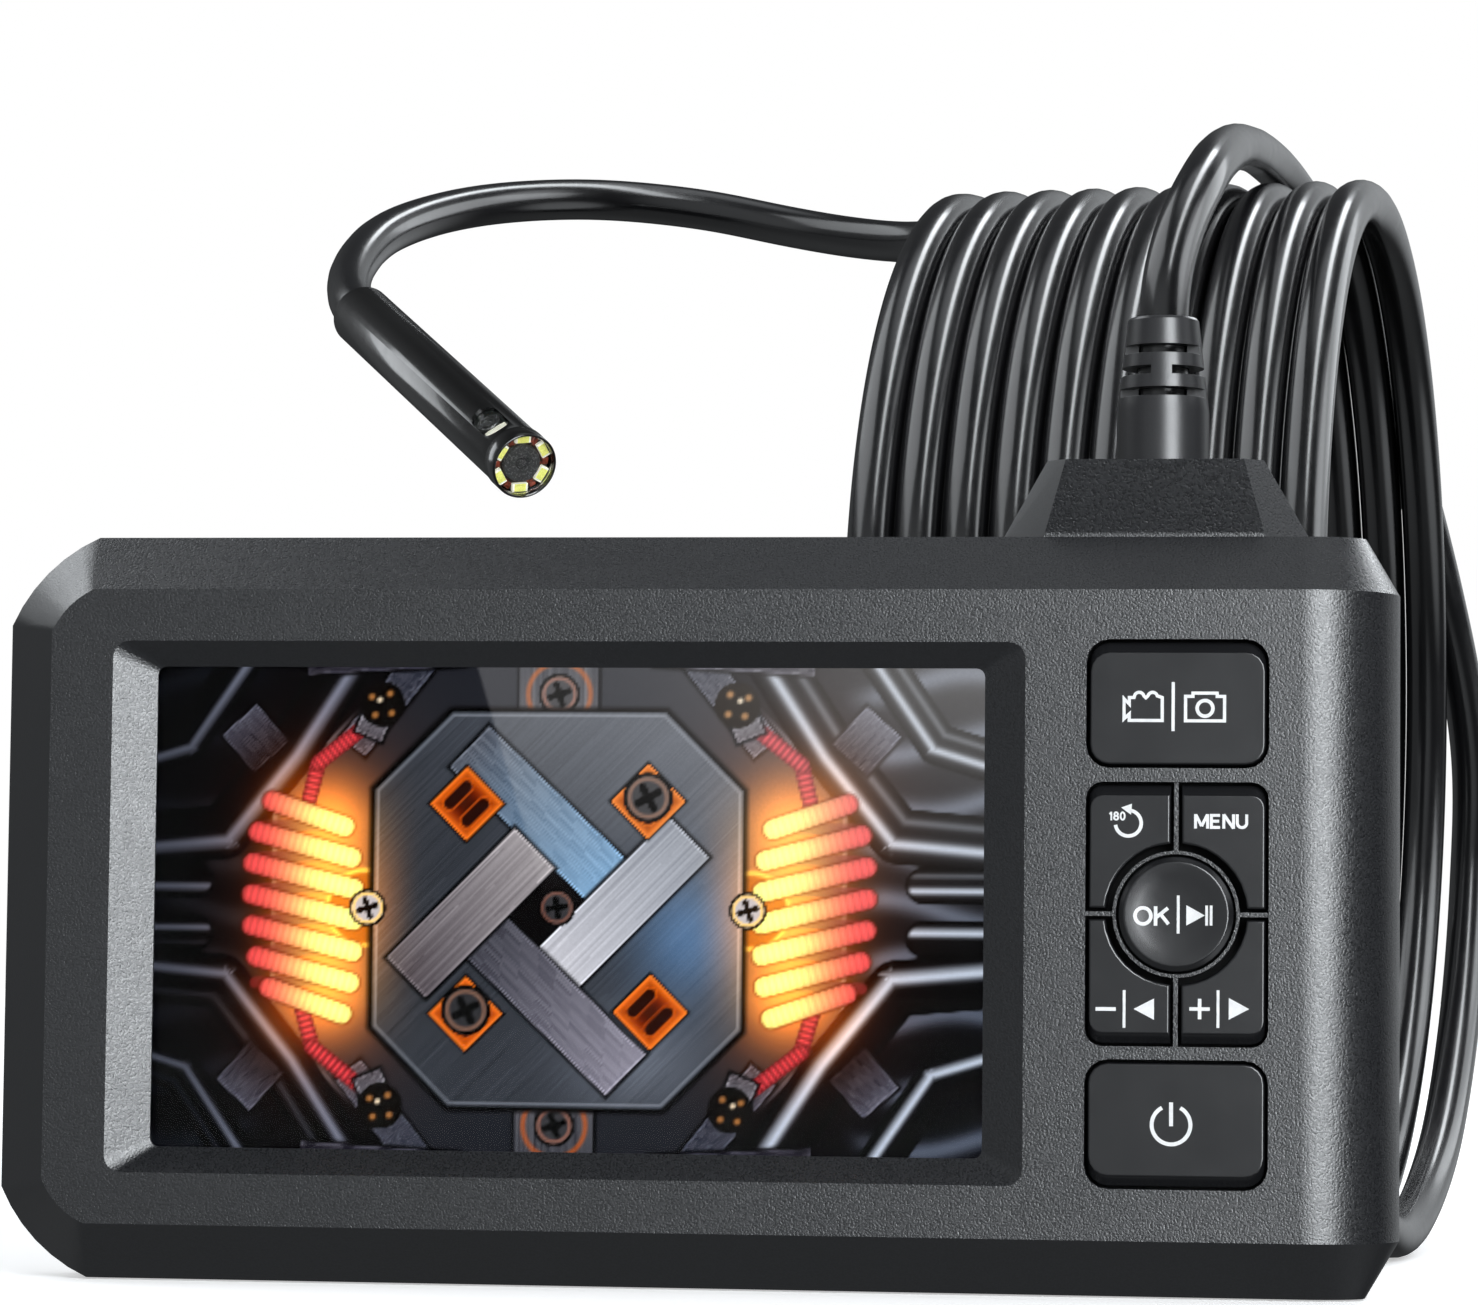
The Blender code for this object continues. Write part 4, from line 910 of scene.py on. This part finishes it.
# A direction, where its lobe starts and is full as a cosine, and how much it adds.
WORLD_LOBES = (
    ((-0.22, -0.95, 0.12), 0.7, 0.95, 0.36),
    ((0.12, 0.12, 1), 0.9, 0.985, 0.62),
    ((0.5, 0.83, 0.25), 0.8, 0.97, 0.5),
    ((-1, 0, 0), 0.3, 0.9, 0.14),
    ((0, 0, -1), 0.3, 0.9, 0.13),
    ((0.8, -0.2, -0.57), 0.88, 0.98, 0.8),
    ((0.84, -0.07, 0.53), 0.93, 0.985, 1.3),
)
# A softbox's turn to the right of the front, its height angle, size and brightness.
SOFTBOX_FAR = 1.2
SOFTBOXES = (
    ("key", 26, 12, (0.56, 1.15), 11.2),
    ("rim_left", -108, 46, (0.7, 0.66), 3.6),
    ("rim_right", 147, 34, (0.6, 0.46), 5.5),
    ("side_left", -94, 22, (0.6, 0.3), 0.9),
    ("probe_soft", -117, 20, (0.44, 0.5), 2.2),
    ("cable_strip", 90, 74, (2.5, 0.22), 6.6),
    ("cable_left", -85, 48, (1.4, 0.8), 1.6),
    ("cable_right", 106, 27, (1.9, 0.6), 1.9),
)
# Which lights spare the cable or the probe, or light it alone.
LINKED = {
    "key": ("EXCLUDE", "cable"),
    "rim_left": ("EXCLUDE", "both"),
    "rim_right": ("EXCLUDE", "cable"),
    "side_left": ("EXCLUDE", "both"),
    "probe_soft": ("INCLUDE", "probe"),
    "cable_strip": ("INCLUDE", "cable"),
    "cable_left": ("INCLUDE", "cable"),
    "cable_right": ("INCLUDE", "cable"),
}
LIGHT_TINT = (0.93, 0.968, 1.0)


def softbox(name, at, size, power):
    light = bpy.data.lights.new(name, "AREA")
    light.shape, light.energy, light.color = "RECTANGLE", power, LIGHT_TINT
    light.size, light.size_y = size
    obj = link(bpy.data.objects.new(name, light))
    obj.location = at
    obj.rotation_mode = "QUATERNION"
    obj.rotation_quaternion = (at - STAGE_CENTRE).to_track_quat("Z", "Y")
    obj.visible_camera = False
    return obj


def make_world():
    """White behind the object, and for light and reflections a dim room with a few brighter parts."""
    world = bpy.data.worlds.new("studio")
    bpy.context.scene.world = world
    world.use_nodes = True
    look = Nodes(world.node_tree)
    around = look.nodes["Background"]
    look.feed(around.inputs["Color"], (*LIGHT_TINT, 1))
    coords = look.node("TexCoord").outputs["Generated"]
    total = WORLD_BASE
    for way, start, end, amount in WORLD_LOBES:
        ways = {0: coords, 1: Vector(way).normalized()}
        facing = look.node("VectorMath", ways, operation="DOT_PRODUCT").outputs["Value"]
        inputs = {"Value": facing, "From Min": start, "From Max": end, "To Min": 0.0, "To Max": amount}
        lobe = look.node("MapRange", inputs, interpolation_type="SMOOTHSTEP").outputs[0]
        total = look.node("Math", {0: lobe, 1: total}).outputs[0]
    look.feed(around.inputs["Strength"], total)
    seen = look.node("Background", {"Color": (1, 1, 1, 1)}).outputs[0]
    camera_ray = look.node("LightPath").outputs["Is Camera Ray"]
    either = look.node("MixShader", {0: camera_ray, 1: around.outputs[0], 2: seen}).outputs[0]
    look.feed(look.nodes["World Output"].inputs["Surface"], either)


def share_light(light, cable, probe):
    """Keeps a light off the cable or the probe, or makes it light them alone."""
    state, which = LINKED[light.name]
    group = bpy.data.collections.new(light.name + "_shared")
    for obj in {"cable": [cable], "probe": probe, "both": [cable, *probe]}[which]:
        group.objects.link(obj)
    light.light_linking.receiver_collection = group
    for item in group.collection_objects:
        item.light_linking.link_state = state


def make_studio(cable, probe):
    make_world()
    bm = bmesh.new()
    bmesh.ops.create_grid(bm, x_segments=1, y_segments=1, size=12)
    look = Look("floor", Roughness=0.9, Emission_Color=(1, 1, 1, 1))
    grain = look.noise(60, 3.0)
    away = look.node("VectorMath", {0: look.place()}, operation="LENGTH").outputs["Value"]
    glow = look.span(away, 0.4, 1.5, 0.45, 0.9)
    pale = look.out(Base_Color=look.mix(grain, 0.88, 0.92), Emission_Strength=glow)
    floor = from_mesh("floor", bm, [pale], smooth=False)
    floor.location.z = -0.0002
    floor.visible_diffuse = floor.visible_glossy = False
    for name, turn, rise, size, radiance in SOFTBOXES:
        a, e = math.radians(turn), math.radians(rise)
        way = Vector((math.sin(a) * math.cos(e), -math.cos(a) * math.cos(e), math.sin(e)))
        power = radiance * math.pi * size[0] * size[1]
        share_light(softbox(name, STAGE_CENTRE + way * SOFTBOX_FAR, size, power), cable, probe)
    bpy.context.scene.view_settings.view_transform = "Standard"


# ---------------- the whole

GRAIN_SIZE = 0.26
GRAIN_DEEP = 0.065
# The front of the boss is shaded as if it leant forward, from where it leaves the case.
BOSS_FROM = 85.9
BOSS_TILT = -0.34


def shell_look():
    """Spark-eroded plastic: a fine grain, and almost none on the facets that face left or down."""
    look = Look("shell_grain", Specular_IOR_Level=1.0)
    fine = look.noise(1000 / GRAIN_SIZE, 2.0, 0.6)
    broad = look.noise(28, 3.0, 0.6)
    rubs = look.noise(160, 4.0, 0.65)
    normal = look.node("NewGeometry").outputs["True Normal"]
    back = look.node("VectorMath", {0: normal, 1: (-1, -1, -1)}, operation="MULTIPLY").outputs[0]
    left, front, low = look.node("SeparateXYZ", {0: back}).outputs
    plain = look.math("MAXIMUM", look.span(low, 0.15, 0.45), look.span(left, 0.3, 0.6))
    grained = look.span(plain, 0.0, 1.0, 1.0, 0.15)
    speckle = look.span(fine, 0.38, 0.62)
    tone = look.mix(speckle, (0.0042, 0.0046, 0.0058), (0.0100, 0.0107, 0.0128))
    tone = look.mix(look.span(broad, 0.3, 0.8, 0.0, 0.12), tone, (0.017, 0.0175, 0.02))
    rough = look.span(rubs, 0.4, 0.75, 0.32, 0.285)
    shine = look.math("ADD", rough, look.math("MULTIPLY", look.span(fine, 0.4, 0.6, -0.05, 0.05), grained))
    raised = look.math("MULTIPLY", fine, grained)
    height = look.node("SeparateXYZ", {0: look.place()}).outputs[2]
    boss = look.math("MULTIPLY", look.span(height, BOSS_FROM * MM, (BOSS_FROM + 0.4) * MM, 0.0, BOSS_TILT),
                     look.span(front, 0.8, 0.95))
    tilt = look.node("CombineXYZ", {2: boss}).outputs[0]
    tilted = look.node("VectorMath", {0: look.bump(raised, GRAIN_DEEP * MM), 1: tilt}, operation="ADD").outputs[0]
    tilted = look.node("VectorMath", {0: tilted}, operation="NORMALIZE").outputs[0]
    return look.out(Base_Color=tone, Roughness=shine, Normal=tilted)


def glass_look(name, ior, smear_size=90):
    look = Look(name, Transmission_Weight=1.0, IOR=ior)
    smear = look.noise(smear_size, 3.0)
    tone = look.mix(smear, (0.97, 0.98, 0.99), 1.0)
    return look.out(Base_Color=tone, Roughness=look.span(smear, 0.4, 0.7, 0.0, 0.006))


def wrap_look():
    look = Look("battery_wrap", Roughness=0.3, Coat_Weight=0.3)
    folds = look.noise(55, 3.0, 0.6, look.stretched((0.3, 1, 1.6)))
    tone = look.mix(look.span(folds, 0.3, 0.7), (0.02, 0.05, 0.16), (0.04, 0.09, 0.24))
    return look.out(Base_Color=tone, Normal=look.bump(folds, 0.2 * MM))


def foam_look():
    look = Look("foam", Roughness=0.95)
    cells = look.node("TexVoronoi", {"Vector": look.place(), "Scale": 1700.0}).outputs["Distance"]
    tone = look.mix(look.span(cells, 0.2, 0.7), (0.004, 0.004, 0.004), (0.03, 0.03, 0.031))
    return look.out(Base_Color=tone, Normal=look.bump(cells, 0.1 * MM))


def slot_looks():
    """A finish for each of the record's material slots."""
    return {
        "shell_plastic": shell_look(),
        "key_plastic": plastic("key_matte", (0.0085, 0.0087, 0.0098), 0.27, size=0.12, speckle=0.1, bump=0.002,
                               spec=0.75),
        "black_rubber": plastic("black_rubber", (0.015, 0.015, 0.0165), 0.36, size=0.2, speckle=0.14, bump=0.008,
                                spec=0.8),
        "black_plastic": plastic("black_plastic", (0.012, 0.012, 0.013), 0.35, size=0.2, speckle=0.1, bump=0.008),
        "connector_plastic": plastic("nylon", (0.55, 0.53, 0.46), 0.42, size=0.3, speckle=0.06, bump=0.01),
        "display_stack": plastic("display_black", (0.006, 0.006, 0.007), 0.12, size=0.4, speckle=0.1, bump=0.001),
        "key_mat": plastic("key_mat", (0.0025, 0.0025, 0.0028), 0.6, size=0.3, speckle=0.2, bump=0.004, spec=0.2),
        "steel": metal("steel", (0.56, 0.57, 0.59), 0.27, (1, 1, 0.15)),
        "black_metal": gloss_black("black_metal"),
        "circuit_board": circuit("circuit_board", (0.008, 0.055, 0.028), (0.02, 0.12, 0.06)),
        "battery_wrap": wrap_look(),
        "foam": foam_look(),
    }


SLOT_OF = {part["node"]: part.get("material_slot") for part in frame["record"]["subparts"]}
SOFT_EDGES = {"front_shell": 0.3, "rear_shell": 0.3, "strain_relief": 0.12, "port_cover": 0.15}


def dress_nodes():
    looks = slot_looks()
    window, small_glass = glass_look("screen_glass", 1.11), glass_look("probe_glass", 1.3, 400)
    for name, obj in NODES.items():
        if obj.hide_render:
            continue
        if name == "display_window":
            dress(name, window)
        elif name.endswith("_window"):
            dress(name, small_glass)
        else:
            bevel = SOFT_EDGES.get(name, 0.12 if name.endswith("_button") else 0.0)
            slot = "key_mat" if name == "button_mat" else SLOT_OF.get(name)
            dress(name, looks.get(slot, looks["black_plastic"]), bevel)


place_camera()
make_probe()
ON_CABLE += ["probe_board", "probe_seal", "front_window", "side_window"]
cable = make_cable()
make_marks()
make_picture()
dress_nodes()
make_studio(cable, [bpy.data.objects[name] for name in ON_CABLE])
